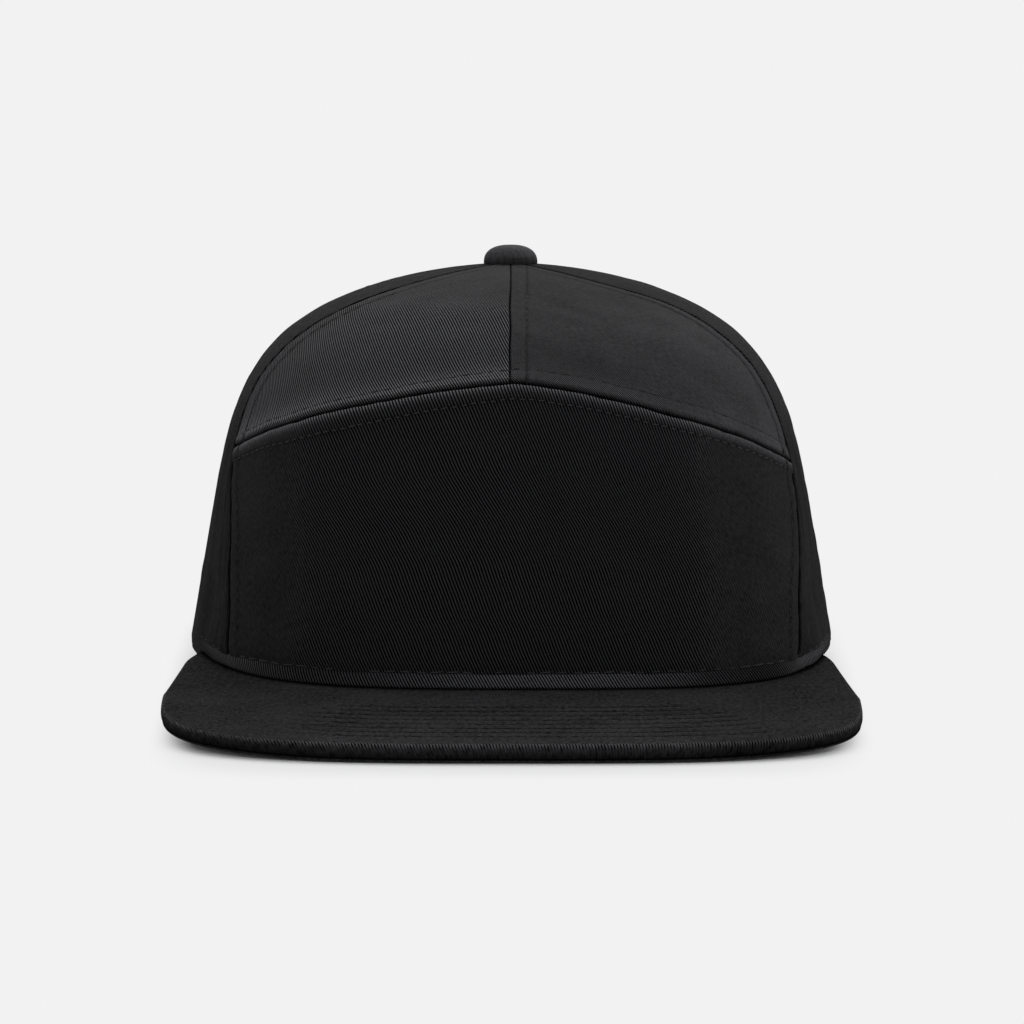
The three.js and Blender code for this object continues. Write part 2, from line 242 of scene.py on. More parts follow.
def makePiece(name, vertices, faces, material, slot, uv=None, replaced=(), shade=1.0, ribs=1.0, rows=0.0,
              quilt=0.0):
    # faces is one array or a list of arrays, each of one size; uv is in millimetres, one row per vertex;
    # shade is painted light and shade: it darkens the cloth where no light gets in and sets how lit each
    # piece or band is drawn; ribs says how raised its twill lines are, and rows counts stitch rows, which
    # show by quilt
    groups = faces if isinstance(faces, list) else [faces]
    corners = np.concatenate([group.ravel() for group in groups]).astype(np.int32)
    sizes = np.concatenate([np.full(len(group), group.shape[1]) for group in groups])
    mesh = bpy.data.meshes.new(name)
    placed = (np.asarray(vertices) + [axisX, axisY, 0]) * mm
    mesh.vertices.add(len(placed))
    mesh.vertices.foreach_set("co", placed.astype(np.float32).ravel())
    mesh.loops.add(len(corners))
    mesh.loops.foreach_set("vertex_index", corners)
    mesh.polygons.add(len(sizes))
    mesh.polygons.foreach_set("loop_start", (np.cumsum(sizes) - sizes).astype(np.int32))
    mesh.polygons.foreach_set("use_smooth", np.ones(len(sizes), bool))
    if uv is not None:
        layer = mesh.uv_layers.new(name="cloth")
        layer.data.foreach_set("uv", np.asarray(uv, np.float32)[corners].ravel())
    for label, value in (("shade", shade), ("ribs", ribs), ("rows", rows), ("quilt", quilt)):
        layer = mesh.attributes.new(label, "FLOAT", "POINT")
        layer.data.foreach_set("value", (np.ones(len(placed)) * np.ravel(value)).astype(np.float32))
    mesh.update(calc_edges=True)
    mesh.validate()
    mesh.materials.append(material)
    piece = bpy.data.objects.new(name, mesh)
    bpy.context.scene.collection.objects.link(piece)
    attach(piece, "root")
    if replaced:
        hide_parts(*replaced)
    return piece


gridSteps = {"finest": 0.17, "fine": 0.42, "coarse": 1.45, "pastGroove": (0.7, 1.8),
             "pastStitching": (5.0, 10.0)}


def gradedSteps(length):
    # shares from 0 to 1 whose spacing grows from the ends: finest in a groove, fine past it,
    # and coarse past the stitching
    place = np.linspace(0, length, 6000)
    edge = np.minimum(place, length - place)
    finest, fine, coarse = (gridSteps[key] for key in ("finest", "fine", "coarse"))
    spacing = finest + (fine - finest) * smooth(edge, *gridSteps["pastGroove"])
    spacing += (coarse - fine) * smooth(edge, *gridSteps["pastStitching"])
    count = np.concatenate([[0], np.cumsum((1 / spacing[1:] + 1 / spacing[:-1]) / 2 * np.diff(place))])
    whole = max(int(round(count[-1])), 4)
    return np.interp(np.linspace(0, count[-1], whole + 1), count, place) / length


# Sewn panels
climbPower = 1.8  # even climbs up the meridian bunch the shares towards the top


def climbOf(share):
    return 1 - np.maximum(1 - share, 0) ** (1 / climbPower)


def shareOf(climb):
    return 1 - (1 - climb) ** climbPower


relief = {
    "dip": 0.16, "dipWidth": 0.5, "pucker": 0.09, "puckerLength": 9.0, "puckerReach": 9.0,
    "gather": 0.06, "gatherLength": 0.85, "gatherFrom": 1.5, "stitchedTo": 0.94, "strayLength": 2.6,
    "grooveCurve": 1.3, "proudFrom": 0.5, "proudPast": 1.2, "shadow": 0.95, "stitchShadow": 0.45,
    "stitchDark": 0.3,
}


def seamRelief(distance, along, off, style, seed):
    # depth below the skin: a narrow groove at the seam, the cloth rolling into it, a proud band over
    # the turned-in allowance, a dip at the stitching, and puckers where the threads pull;
    # with it the share of light lost, a painted shade: in the groove, and a little along the stitching;
    # where the style asks for it, a painted highlight on the band past the groove, where less light is lost
    strayed = distance * (1 + style["stray"] * wander(along / relief["strayLength"], seed + 0.4))
    groove = style["groove"][1] * np.clip(1 - strayed / style["groove"][0], 0, 1) ** relief["grooveCurve"]
    roll = style["roll"][1] * np.clip(1 - strayed / style["roll"][0], 0, 1) ** 2
    proud = style["proud"] * (1 - smooth(distance, off - relief["proudFrom"], off + relief["proudPast"]))
    sewn = 1.0 if style["thread"] else 0.0
    dip = sewn * relief["dip"] * bell(distance - off, relief["dipWidth"])
    ripple = wander(along / relief["puckerLength"] * fullWave, seed) * bell(distance, relief["puckerReach"])
    gather = wander(along / relief["gatherLength"], seed - 0.8)
    gather = gather * (1 - smooth(distance, relief["gatherFrom"], off))
    lost = relief["shadow"] * bell(strayed, style["dark"])
    lost = np.maximum(lost, sewn * relief["stitchShadow"] * bell(distance - off, relief["stitchDark"]))
    # painted highlight: the band past the groove drawn lighter, where it turns up to the overhead light
    if "paintedHighlight" in style:
        wearAndHighlight = np.interp(along / along.max(), np.linspace(0, 1, len(style["paintedHighlight"])), style["paintedHighlight"])
        start = style["highlightFrom"]
        past = np.maximum(distance - start, 0) / style["highlightFade"]
        lost = lost - wearAndHighlight * smooth(distance, start - 0.5, start) * np.exp(-past ** 1.5)
    return groove + roll - proud + dip + relief["pucker"] * ripple + relief["gather"] * gather, lost


def turnedCloth(u, v, degrees):
    # cloth coordinates turned, so that the twill lines run another way over the piece
    turn = math.radians(degrees)
    return np.stack([u * math.cos(turn) + v * math.sin(turn), v * math.cos(turn) - u * math.sin(turn)], -1)


def panelGrid(left, right, bottom, top, across, upSteps):
    # angle and share of each grid point, found by passing between the edges a few times
    u, v = across[None, :], upSteps[:, None]
    share = bottom(0.0) + (top(0.0) - bottom(0.0)) * v + 0 * u
    for _ in range(10):
        angle = left(share) * (1 - u) + right(share) * u
        low, high = climbOf(bottom(angle)), climbOf(top(angle))
        share = shareOf(low + (high - low) * v)
    return angle, share


def rowRuns(points):
    # the distance run along each row of a grid
    step = np.linalg.norm(np.diff(points, axis=1), axis=-1)
    return np.concatenate([np.zeros((len(points), 1)), np.cumsum(step, axis=1)], axis=1)


def runAlong(line):
    return rowRuns(line[None])[0]


def placesAt(run, line, at):
    # the line's values at given distances along its run
    return np.stack([np.interp(at, run, column) for column in line.T], -1)


def edgeDistances(points):
    # distance from the left and right edges along each row, squared up to the edge's slope
    run = rowRuns(points)

    def squared(edge, inward):
        along, rowWay = unit(np.gradient(points[:, edge], axis=0)), unit(points[:, inward] - points[:, edge])
        return np.sqrt(np.maximum(1 - np.sum(along * rowWay, -1) ** 2, 0.05))[:, None]

    return run * squared(0, 1), (run[:, -1:] - run) * squared(-1, -2), run


def bothFaces(outer, inner):
    # rows that run out along the outer face and back along the inner one
    return np.concatenate([outer, inner[:, ::-1]], axis=1)


def wallFaces(rows, columns):
    # a loop runs out along the outer face and back along the inner one; caps close both ends
    faces = [gridFaces(rows, 2 * columns, closed=True)]
    i = np.arange(columns - 1)
    for row, flip in ((0, False), (rows - 1, True)):
        a, b = row * 2 * columns + i, (row + 1) * 2 * columns - 1 - i
        quad = np.stack([a, b, b - 1, a + 1], -1)
        faces.append(quad[:, ::-1] if flip else quad)
    return faces


def stitchLine(excess, share, outer, normal, side, lowest):
    # where each row, counted in from its sewn edge, passes the stitching's distance
    if side in ("bottom", "top"):
        excess, share, outer, normal = excess.T, share.T, outer.transpose(1, 0, 2), normal.transpose(1, 0, 2)
    if side in ("right", "top"):
        excess, share, outer, normal = (grid[:, ::-1] for grid in (excess, share, outer, normal))
    j = np.flatnonzero(excess.max(axis=1) > 1)
    i = np.clip((excess[j] < 0).sum(axis=1), 1, excess.shape[1] - 1)
    before, after = excess[j, i - 1], excess[j, i]
    part = (-before / (after - before))[:, None]
    place = outer[j, i - 1] * (1 - part) + outer[j, i] * part
    sewn = (share[j, i] < relief["stitchedTo"]) & (share[j, i] > lowest)
    return place[sewn], normal[j, i][sewn]


hem = {
    "height": 3.5, "stitchRise": 3.7, "pinch": 0.35, "pinchWidth": 1.2, "pressed": 0.4,
    "bulge": 1.15, "bulgeBehind": 0.35, "bulgeEnds": (30, 60), "ripple": 0.1, "rippleLength": 3.1,
    "wave": 0.08, "waveLength": 11, "tuck": 2.5, "tuckRise": 3.4, "tuckPower": 1.7,
    "sideTuck": 0.45, "sideStart": (55, 70), "sideEnd": (100, 130),
    # by degrees from the front: how far the band is pressed down, and how lit it is
    "sinks": ((0, 0.45), (48, 0.45), (57, 1.5), (68, 1.5), (82, 0)),
    "shades": ((-180, 0.6), (-60, 0.6), (-50, 1.2), (-46, 1.3), (-39, 0.85), (-32, 0.6), (-26, 0.65),
               (-17, 1.0), (0, 1.6), (15, 1.5), (25, 1.0), (29, 0.6), (35, 0.4), (39, 0.4), (43, 0.8),
               (47, 1.5), (60, 0.8), (180, 0.6)),
}


def riseOf(angle, share):
    # millimetres above the rim, up the skin
    return share * (crown["height"] - rimAt(angle))


def shareAt(angle, rise):
    return rise / (crown["height"] - rimAt(angle))


def hemTuck(angle, rise):
    # beside and behind the visor's middle the lower edge rolls in under the cap
    degrees = np.abs(np.degrees(angle))
    beside = hem["sideTuck"] * smooth(degrees, *hem["sideStart"]) * (1 - smooth(degrees, *hem["sideEnd"]))
    turned = smooth(degrees, *hem["bulgeEnds"]) + beside
    return hem["tuck"] * turned * np.clip(1 - rise / hem["tuckRise"], 0, 1) ** hem["tuckPower"]


def hemPinch(rise):
    # the hem's stitching draws the cloth in, and below it the cloth lies under the rolled edge
    above = bell(np.maximum(rise - hem["stitchRise"], 0), hem["pinchWidth"])
    return hem["pinch"] * above + hem["pressed"] * smooth(hem["stitchRise"] - rise, 0, 1)


def levelNormal(angle, share):
    # the skin's normal, turned level close to the rim, where an inset has to keep its height
    normal = crownNormal(angle, share)
    normal[..., 2] *= smooth(riseOf(angle, share), 1, 12)
    return unit(normal)


stitchLines = {"dark": [], "light": []}
panelLooks = {
    "rimLift": 0.004, "swell": 0.35, "swellLength": 46.0, "swellEnds": (3, 16), "foldLength": 11.0,
    "foldLean": 60, "tapeWidth": 6.0, "tapeFade": 0.8, "tapeProud": 0.45, "thinnest": 0.15,
    "flatter": 0.85, "flatEnds": (0.9, 0.985),
}


def sewnPanel(name, left, right, bottom, top, size, edges, cut, upSteps=None):
    # edges gives the seam style of the left, right, bottom and top edge;
    # cut gives the panel's seed, its painted light (shade, and how it changes upwards) and rib strength,
    # its grain in degrees and its upright folds
    looks = panelLooks
    across = gradedSteps(size[0])
    if upSteps is None:
        upSteps = gradedSteps(size[1])
    angle, share = panelGrid(left, right, bottom, top, across, upSteps)
    skin = crownSkin(angle, share)
    fromLeft, fromRight, run = edgeDistances(skin)
    # beside the opening, whose edge turns level, distance is counted along the row
    if "above" in edges.get("right", {}):
        fromRight = run[:, -1:] - run
    if "above" in edges.get("left", {}):
        fromLeft = run
    fromBottom, fromTop, climb = [a.T for a in edgeDistances(skin.transpose(1, 0, 2))]
    distances = {"left": fromLeft, "right": fromRight, "bottom": fromBottom, "top": fromTop}
    alongs = {"left": climb, "right": climb, "bottom": run, "top": run}
    crease, excesses = creaseDepth(angle, share), {}
    relieved, tape, kept = 0 * angle, 0 * angle, 1 + 0 * angle
    for count, side in enumerate(distances):
        if side not in edges:
            continue
        style, along = edges[side], alongs[side]
        above = style.get("above", 0)
        reached = smooth(share, above + 0.01, above + 0.05) if above else 1
        off = np.interp(along / along.max(), np.linspace(0, 1, len(style["off"])), style["off"])
        depth, shadow = seamRelief(distances[side], along, off, style, cut["seed"] + count)
        relieved, kept = relieved + depth * reached, kept * (1 - shadow * reached)
        tapeEnd = looks["tapeWidth"]
        tape = np.maximum(tape, 1 - smooth(distances[side], tapeEnd - looks["tapeFade"], tapeEnd))
        excesses[side] = distances[side] - off
    middle = np.argmin(np.abs(across - cut.get("datum", 0.5)))
    u = run - run[:, middle:middle + 1]
    v = climb[:, middle:middle + 1] + 0 * u
    if "datum" in cut:
        aside = smooth(np.abs(skin[..., 0] - axisX), *looks["swellEnds"])
        free = aside * smooth(outsideOpening(angle, share), 1, 1.4) * smooth(np.abs(u), *looks["swellEnds"])
    else:
        free = smooth(np.minimum(fromLeft, fromRight), *looks["swellEnds"])
    slow = fullWave / looks["swellLength"]
    swell = looks["swell"] * wander(u * slow, cut["seed"]) * wander(v * slow, -cut["seed"]) * free
    upright = wander(u / looks["foldLength"] * fullWave + v / looks["foldLean"], cut["seed"])
    upright = upright * (1 - smooth(share, 0.5, 0.9))
    rise = riseOf(angle, share)
    # the relief dies away under the button
    flatter = 1 - looks["flatter"] * smooth(share, *looks["flatEnds"])
    tuck = hemTuck(angle, rise)
    within = cloth["wall"] + crease + looks["tapeProud"] * tape + tuck
    depth = crease + (relieved + swell) * flatter + cut.get("folds", 0) * upright + tuck + hemPinch(rise)
    normal = levelNormal(angle, share)
    outer = skin - normal * np.minimum(depth, within - looks["thinnest"])[..., None]
    inner = skin - normal * within[..., None]
    flat = turnedCloth(u, v, cut.get("grain", 0)) * cut.get("fine", 1)
    change, start, end = cut.get("upwards", (0, 0, 1))
    # painted light: the panel's shade, times the painted shadow of its seams, lighter or darker upwards
    lit = cut["shade"] * kept * (1 + change * smooth(share, start, end))
    flat, lit, ribs = (bothFaces(grid, grid) for grid in (flat, lit, cut["ribs"](u, v, share)))
    makePiece(name + "_cloth", bothFaces(outer, inner).reshape(-1, 3), wallFaces(*angle.shape), panelTwill,
              "twill", flat.reshape(-1, 2), (name,), lit, ribs)
    for side, excess in excesses.items():
        thread, lowest = edges[side]["thread"], edges[side].get("above", -1) + 0.03
        if thread:
            stitchLines[thread].append(stitchLine(excess, share, outer, normal, side, lowest))


# Materials
def linear(hexText):
    # sRGB hex to linear light, by the sRGB curve
    values = np.array([int(hexText[i:i + 2], 16) for i in (0, 2, 4)]) / 255
    light = np.where(values <= 0.04045, values / 12.92, ((values + 0.055) / 1.055) ** 2.4)
    return (*[float(c) for c in light], 1.0)


def addNode(tree, kind, inputs=None, out=0, **settings):
    # adds one node, sets its options, sets or links its inputs, and gives back one of its outputs
    node = tree.nodes.new("ShaderNode" + kind)
    for name, value in settings.items():
        setattr(node, name, value)
    for name, value in (inputs or {}).items():
        if isinstance(value, bpy.types.NodeSocket):
            tree.links.new(value, node.inputs[name])
        else:
            node.inputs[name].default_value = value
    return node.outputs[out] if node.outputs else node


def newMaterial(name):
    material = bpy.data.materials.new(name)
    material.use_nodes = True
    material.node_tree.nodes.clear()
    return material, material.node_tree


def wovenTwill(name, looks, slant, slub=0.0, quilted=False):
    # cotton twill, piece dyed black: matt yarns in fine slanting ribs, near black between them, where the
    # dye's black is deepened by painted shade in the valleys; height = a sine across the ribs times the ribs
    # attribute + a noise drawn out along each rib + a fine yarn noise; colour = valley to rib by the height,
    # times the shade attribute, which paints light and shade
    material, tree = newMaterial(name)
    place = addNode(tree, "UVMap", uv_map="cloth")
    raised = addNode(tree, "Attribute", out="Fac", attribute_name="ribs")
    lit = addNode(tree, "Attribute", out="Fac", attribute_name="shade")
    turn = math.radians(slant)
    wave = 2 * math.pi / looks["pitch"]
    sway = addNode(tree, "TexNoise", {"Vector": place, "Scale": 0.07, "Detail": 2.0})  # about 14 mm long
    across = addNode(tree, "VectorMath", {0: place, 1: (math.cos(turn) * wave, math.sin(turn) * wave, 0)},
                     out="Value", operation="DOT_PRODUCT")
    across = addNode(tree, "Math", {0: sway, 1: looks["sway"], 2: across}, operation="MULTIPLY_ADD")
    along = addNode(tree, "VectorMath", {0: place, 1: (-math.sin(turn), math.cos(turn), 0)}, out="Value",
                    operation="DOT_PRODUCT")
    ribs = addNode(tree, "Math", {0: across}, operation="SINE")
    ribs = addNode(tree, "Math", {0: ribs, 1: raised}, operation="MULTIPLY")
    squeezed = addNode(tree, "Math", {0: across, 1: 0.3}, operation="MULTIPLY")  # draws it out along a rib
    drawn = addNode(tree, "CombineXYZ", {0: squeezed, 1: along})
    rope = addNode(tree, "TexNoise", {"Vector": drawn, "Scale": 0.55, "Detail": 3.0, "Roughness": 0.6})
    yarn = addNode(tree, "TexNoise", {"Vector": place, "Scale": 2.3, "Detail": 2.0, "Roughness": 0.6})
    height = addNode(tree, "Math", {0: ribs, 1: looks["ribs"], 2: 0.5 - (looks["rope"] + looks["yarn"]) / 2},
                     operation="MULTIPLY_ADD")
    for noise, share in ((rope, looks["rope"]), (yarn, looks["yarn"])):
        height = addNode(tree, "Math", {0: noise, 1: share, 2: height}, operation="MULTIPLY_ADD")
    patch = addNode(tree, "TexNoise", {"Vector": place, "Scale": 0.06, "Detail": 4.0, "Roughness": 0.6})
    uneven = [(patch, looks["mottle"])]
    if slub:
        # thicker yarns that run front to back, as streaks in the shade
        stretched = addNode(tree, "VectorMath", {0: place, 1: (0.85, 0.42, 1)}, operation="MULTIPLY")
        streaks = {"Vector": stretched, "Scale": 1.0, "Detail": 3.0, "Roughness": 0.7}
        uneven.append((addNode(tree, "TexNoise", streaks), slub))
    shade = height
    for noise, share in uneven:
        shade = addNode(tree, "Math", {0: noise, 1: share, 2: shade}, operation="MULTIPLY_ADD")
        shade = addNode(tree, "Math", {0: shade, 1: share / 2}, operation="SUBTRACT")
    if quilted:
        # dark line = how near a whole number the rows attribute is, where a noise drawn out along x
        # lets it show
        rows = addNode(tree, "Attribute", out="Fac", attribute_name="rows")
        stray = addNode(tree, "TexNoise", {"Vector": place, "Scale": 0.22, "Detail": 3.0, "Roughness": 0.6})
        rows = addNode(tree, "Math", {0: stray, 1: looks["rowStray"], 2: rows}, operation="MULTIPLY_ADD")
        near = addNode(tree, "Math", {0: rows, 1: math.pi}, operation="MULTIPLY")
        near = addNode(tree, "Math", {0: near}, operation="SINE")
        near = addNode(tree, "Math", {0: near}, operation="ABSOLUTE")
        line = addNode(tree, "MapRange", {0: near, 1: 0.08, 2: looks["rowWidth"], 3: 1.0, 4: 0.0})
        drawnOut = addNode(tree, "VectorMath", {0: place, 1: (0.42, 1.3, 1)}, operation="MULTIPLY")
        gaps = addNode(tree, "TexNoise", {"Vector": drawnOut, "Scale": 1.0, "Detail": 2.0})
        gaps = addNode(tree, "MapRange", {0: gaps, 1: 0.4, 2: 0.6, 3: 0.35, 4: 1.0})
        clear = addNode(tree, "Attribute", out="Fac", attribute_name="quilt")
        for factor in (gaps, clear):
            line = addNode(tree, "Math", {0: line, 1: factor}, operation="MULTIPLY")
        shade = addNode(tree, "Math", {0: line, 1: -looks["rowShadow"], 2: shade}, operation="MULTIPLY_ADD")
        height = addNode(tree, "Math", {0: line, 1: -1.2, 2: height}, operation="MULTIPLY_ADD")
    shade = addNode(tree, "Clamp", {0: shade})
    colour = addNode(tree, "Mix", {0: shade, 6: linear(looks["valley"]), 7: linear(looks["rib"])}, out=2,
                     data_type="RGBA")
    colour = addNode(tree, "VectorMath", {0: colour, "Scale": lit}, operation="SCALE")
    # gloss and sheen follow the painted light and shade as well
    gloss = addNode(tree, "Math", {0: lit, 1: looks["gloss"]}, operation="MULTIPLY")
    gloss = addNode(tree, "Math", {0: gloss, 1: shade}, operation="MULTIPLY")
    sheen = addNode(tree, "Math", {0: lit, 1: looks["sheen"]}, operation="MULTIPLY")
    bump = addNode(tree, "Bump", {"Height": height, "Strength": 1.0, "Distance": looks["relief"] * mm})
    shader = addNode(tree, "BsdfPrincipled", {
        "Base Color": colour, "Roughness": looks["roughness"], "Normal": bump, "Specular IOR Level": gloss,
        "Sheen Weight": sheen, "Sheen Roughness": 0.45, "Sheen Tint": linear("d8d8de")})
    addNode(tree, "OutputMaterial", {0: shader})
    return material


def sewingThread(name, dark, light):
    # black spun polyester thread: two plies twisted, slightly glossier than the cloth
    # height = a fine noise in Object coordinates, about one ply wide
    material, tree = newMaterial(name)
    place = addNode(tree, "TexCoord", out="Object")
    twist = addNode(tree, "TexNoise", {"Vector": place, "Scale": 2600.0, "Detail": 2.0})
    bump = addNode(tree, "Bump", {"Height": twist, "Strength": 0.6, "Distance": 0.06 * mm})
    colour = addNode(tree, "Mix", {0: twist, 6: linear(dark), 7: linear(light)}, out=2, data_type="RGBA")
    shader = addNode(tree, "BsdfPrincipled", {
        "Base Color": colour, "Roughness": 0.7, "Normal": bump, "Specular IOR Level": 0.2})
    addNode(tree, "OutputMaterial", {0: shader})
    return material


def mouldedPlastic():
    # black polyethylene, injection moulded: satin skin with a faint orange peel
    # height = a noise about a millimetre across; roughness = a slow noise, where handling polished it
    material, tree = newMaterial("Moulded polyethylene")
    place = addNode(tree, "TexCoord", out="Object")
    peel = addNode(tree, "TexNoise", {"Vector": place, "Scale": 900.0, "Detail": 3.0})
    wearAndHighlight = addNode(tree, "TexNoise", {"Vector": place, "Scale": 60.0, "Detail": 5.0})
    bump = addNode(tree, "Bump", {"Height": peel, "Strength": 0.25, "Distance": 0.05 * mm})
    rough = addNode(tree, "MapRange", {0: wearAndHighlight, 3: 0.36, 4: 0.52})
    colour = addNode(tree, "Mix", {0: wearAndHighlight, 6: linear("101011"), 7: linear("1a1a1c")}, out=2,
                     data_type="RGBA")
    shader = addNode(tree, "BsdfPrincipled", {
        "Base Color": colour, "Roughness": rough, "Normal": bump, "IOR": 1.51})
    addNode(tree, "OutputMaterial", {0: shader})
    return material


twillLooks = {  # pitch in mm between ribs; the shares say how much each part adds to the height
    # valley: the black dye with painted shade, where the valleys lie in the ribs' shadow
    "valley": "010101", "rib": "39393b", "pitch": 0.77, "relief": 0.14, "sheen": 0.03, "roughness": 0.9,
    "gloss": 0.22, "ribs": 0.95, "rope": 0.9, "yarn": 0.45, "sway": 1.6, "mottle": 0.35,
}
cottonLooks = dict(twillLooks, valley="0a0a0b", rib="1e1e20", pitch=0.6, ribs=0.3, yarn=0.6)
panelTwill = wovenTwill("Black cotton twill", twillLooks, 23.0)
biasTwill = wovenTwill("Black cotton twill on the bias", twillLooks, 42.0)
visorLooks = dict(twillLooks, yarn=0.55, mottle=0.6, rowStray=0.16, rowWidth=0.65, rowShadow=0.6)
visorTwill = wovenTwill("Black cotton twill over board", visorLooks, 15.0, slub=1.5, quilted=True)
bandCotton = wovenTwill("Black cotton sweatband", cottonLooks, 90.0)
# the light thread is the same black thread drawn lighter, a painted highlight where light catches its top
threads = {"dark": sewingThread("Black polyester thread", "050505", "1c1c1d"),
           "light": sewingThread("Black polyester thread, painted highlight", "121213", "38383a")}
plastic = mouldedPlastic()
print("materials made")


# Panels
def atRim(angle):
    return panelLooks["rimLift"] + 0 * angle


def atButton(angle):
    return crown["openShare"] + 0 * angle


opening = {"half": 27.5, "top": 0.46}


def openEdge(share):
    # half an oval in angle and share, closing on the centre back seam
    rise = np.clip(share / opening["top"], 0, 1)
    return math.pi - math.radians(opening["half"]) * np.sqrt(1 - rise ** 2)


def openEdgeLeft(share):
    return -openEdge(share)


def outsideOpening(angle, share):
    # 1 on the opening's edge, more outside it
    return np.hypot((math.pi - np.abs(angle)) / math.radians(opening["half"]), share / opening["top"])


def openSteps():
    # rows crowd together at the top of the opening, where its edge turns level
    turn = np.linspace(0, math.pi / 2, 60)
    lift = panelLooks["rimLift"]
    low = climbOf(lift + (opening["top"] - lift) * np.sin(turn))
    high = np.linspace(climbOf(opening["top"]), climbOf(crown["openShare"]), 100)[1:]
    every = np.concatenate([low, high])
    return (every - every[0]) / (every[-1] - every[0])


# Groove and roll give a half width and a depth; proud is the sewn band, dark the shadow's half width,
# off the stitching's distance from the edge, end to end
archSeam = {"groove": (0.6, 1.1), "roll": (1.3, 0.35), "proud": 0.3, "dark": 0.5, "stray": 0.3,
            "thread": "dark"}
sideSeam = {"groove": (0.6, 1.1), "roll": (1.6, 0.4), "proud": 0.3, "dark": 0.4, "stray": 0.06, "off": (4.4,),
            "thread": "dark"}
plainSeam = dict(sideSeam, thread="")
backSeam = dict(sideSeam, above=opening["top"])
centreSeamStyle = dict(sideSeam, groove=(0.4, 0.8), roll=(0.9, 0.12), dark=0.25, proud=0.15)


# How raised the ribs are over a panel, by mm across and up it and by share of the height
def fadesAside(u, v, share):
    return 1 - 0.85 * smooth(np.abs(u), 46, 60)


def fadesUpwards(u, v, share):
    return 1 - 0.85 * smooth(share, 0.87, 0.93)


def fadesFromCorner(u, v, share):
    return 0.12 + 0.6 * (1 - smooth(v, 5, 32)) * (1 - smooth(u, -25, 20))


def quiet(u, v, share):
    return 0.25 + 0 * u


def faintBelow(u, v, share):
    return 0.15 + 0.45 * smooth(share, 0.5, 0.7)


openEdgeSteps = openSteps()
# each panel's shade is painted light, lit and shaded copies of one black twill; upwards makes it lighter or
# darker towards the top, and the arch's bands carry a painted highlight
sewnPanel("front_panel", leftSeam, rightSeam, atRim, archShare, (172, 80),
          {"left": sideSeam, "right": sideSeam,
           "top": dict(archSeam, proud=0.5, off=(4.3, 5.9, 4.8, 3.8, 3.1), thread="light", roll=(1.8, 0.6),
                       paintedHighlight=(3.6, 4.2, 3.6, 2.6, 2.0), highlightFrom=0.8, highlightFade=1.3)},
          {"seed": 1.3, "shade": 0.51, "ribs": fadesAside})
sewnPanel("upper_front_panel_left", leftSeam, centreSeam, archShare, atButton, (92, 110),
          {"left": dict(sideSeam, off=(6.3, 4.6), dark=1.0), "right": dict(centreSeamStyle, thread=""),
           "bottom": dict(archSeam, off=(2.7, 2.7, 4.0), paintedHighlight=(0.9, 1.0, 0.9), highlightFrom=1.6, highlightFade=4.0)},
          {"seed": 2.1, "grain": 14, "fine": 1.32, "shade": 1.5, "upwards": (-0.42, 0.84, 0.97),
           "ribs": fadesUpwards})
sewnPanel("upper_front_panel_right", centreSeam, rightSeam, archShare, atButton, (92, 110),
          {"left": centreSeamStyle, "right": dict(sideSeam, dark=1.0),
           "bottom": dict(archSeam, off=(4.2, 4.6, 3.8), paintedHighlight=(0.7, 0.35, 0.2), highlightFrom=1.6, highlightFade=4.0)},
          {"seed": 3.7, "grain": 22, "fine": 1.35, "shade": 1.02, "upwards": (-0.25, 0.84, 0.97),
           "ribs": fadesFromCorner})
sewnPanel("side_panel_left", backLeftSeam, leftSeam, atRim, atButton, (118, 190),
          {"left": sideSeam, "right": dict(plainSeam, dark=0.6)},
          {"seed": 4.9, "folds": 0.2, "shade": 0.43, "upwards": (0.8, 0.5, 0.72), "ribs": faintBelow})
sewnPanel("side_panel_right", rightSeam, backRightSeam, atRim, atButton, (118, 190),
          {"left": dict(plainSeam, dark=0.6), "right": sideSeam},
          {"seed": 5.6, "folds": 0.2, "shade": 0.39, "upwards": (0.9, 0.5, 0.72), "ribs": faintBelow})
sewnPanel("back_panel_right", backRightSeam, openEdge, atRim, atButton, (110, 190),
          {"left": sideSeam, "right": backSeam},
          {"seed": 6.2, "shade": 0.55, "ribs": quiet, "datum": 0}, openEdgeSteps)
sewnPanel("back_panel_left", openEdgeLeft, backLeftSeam, atRim, atButton, (110, 190),
          {"right": sideSeam, "left": backSeam},
          {"seed": 7.4, "shade": 0.55, "ribs": quiet, "datum": 1}, openEdgeSteps)
print("panels sewn")


# Visor: one closed shell of cloth over a board
def visorOutline(count):
    # a squared half oval in front, then sides drawn in to the tips, in even steps
    around, frontPart = np.linspace(-1, 1, 8001), 0.72
    side, away = np.where(around < 0, -1, 1), np.abs(around)
    halfWidth, widestY, tipX, roundness = (
        np.where(around < 0, visor["left"][key], visor["right"][key])
        for key in ("halfWidth", "widestY", "tipX", "roundness"))
    turn = np.clip(away / frontPart, 0, 1) * math.pi / 2
    back = np.clip((away - frontPart) / (1 - frontPart), 0, 1)
    x = np.where(away <= frontPart, halfWidth * np.sin(turn) ** (2 / roundness),
                 halfWidth + (tipX - halfWidth) * back ** visor["sidePower"])
    y = np.where(away <= frontPart, widestY - (widestY - visor["frontY"]) * np.cos(turn) ** (2 / roundness),
                 widestY + (visor["tipY"] - widestY) * back)
    return evenly(np.stack([side * x, y], -1), count)


def evenly(line, count):
    # the same line in steps of equal length
    run = runAlong(line)
    return placesAt(run, line, np.linspace(0, run[-1], count))


def nearest(points, line):
    # index of the fine line's vertex nearest to each point of a grid, and its distance, row by row
    index = np.stack([((row[:, None] - line[None]) ** 2).sum(-1).argmin(1) for row in points])
    return index, np.linalg.norm(points - line[index], axis=-1)


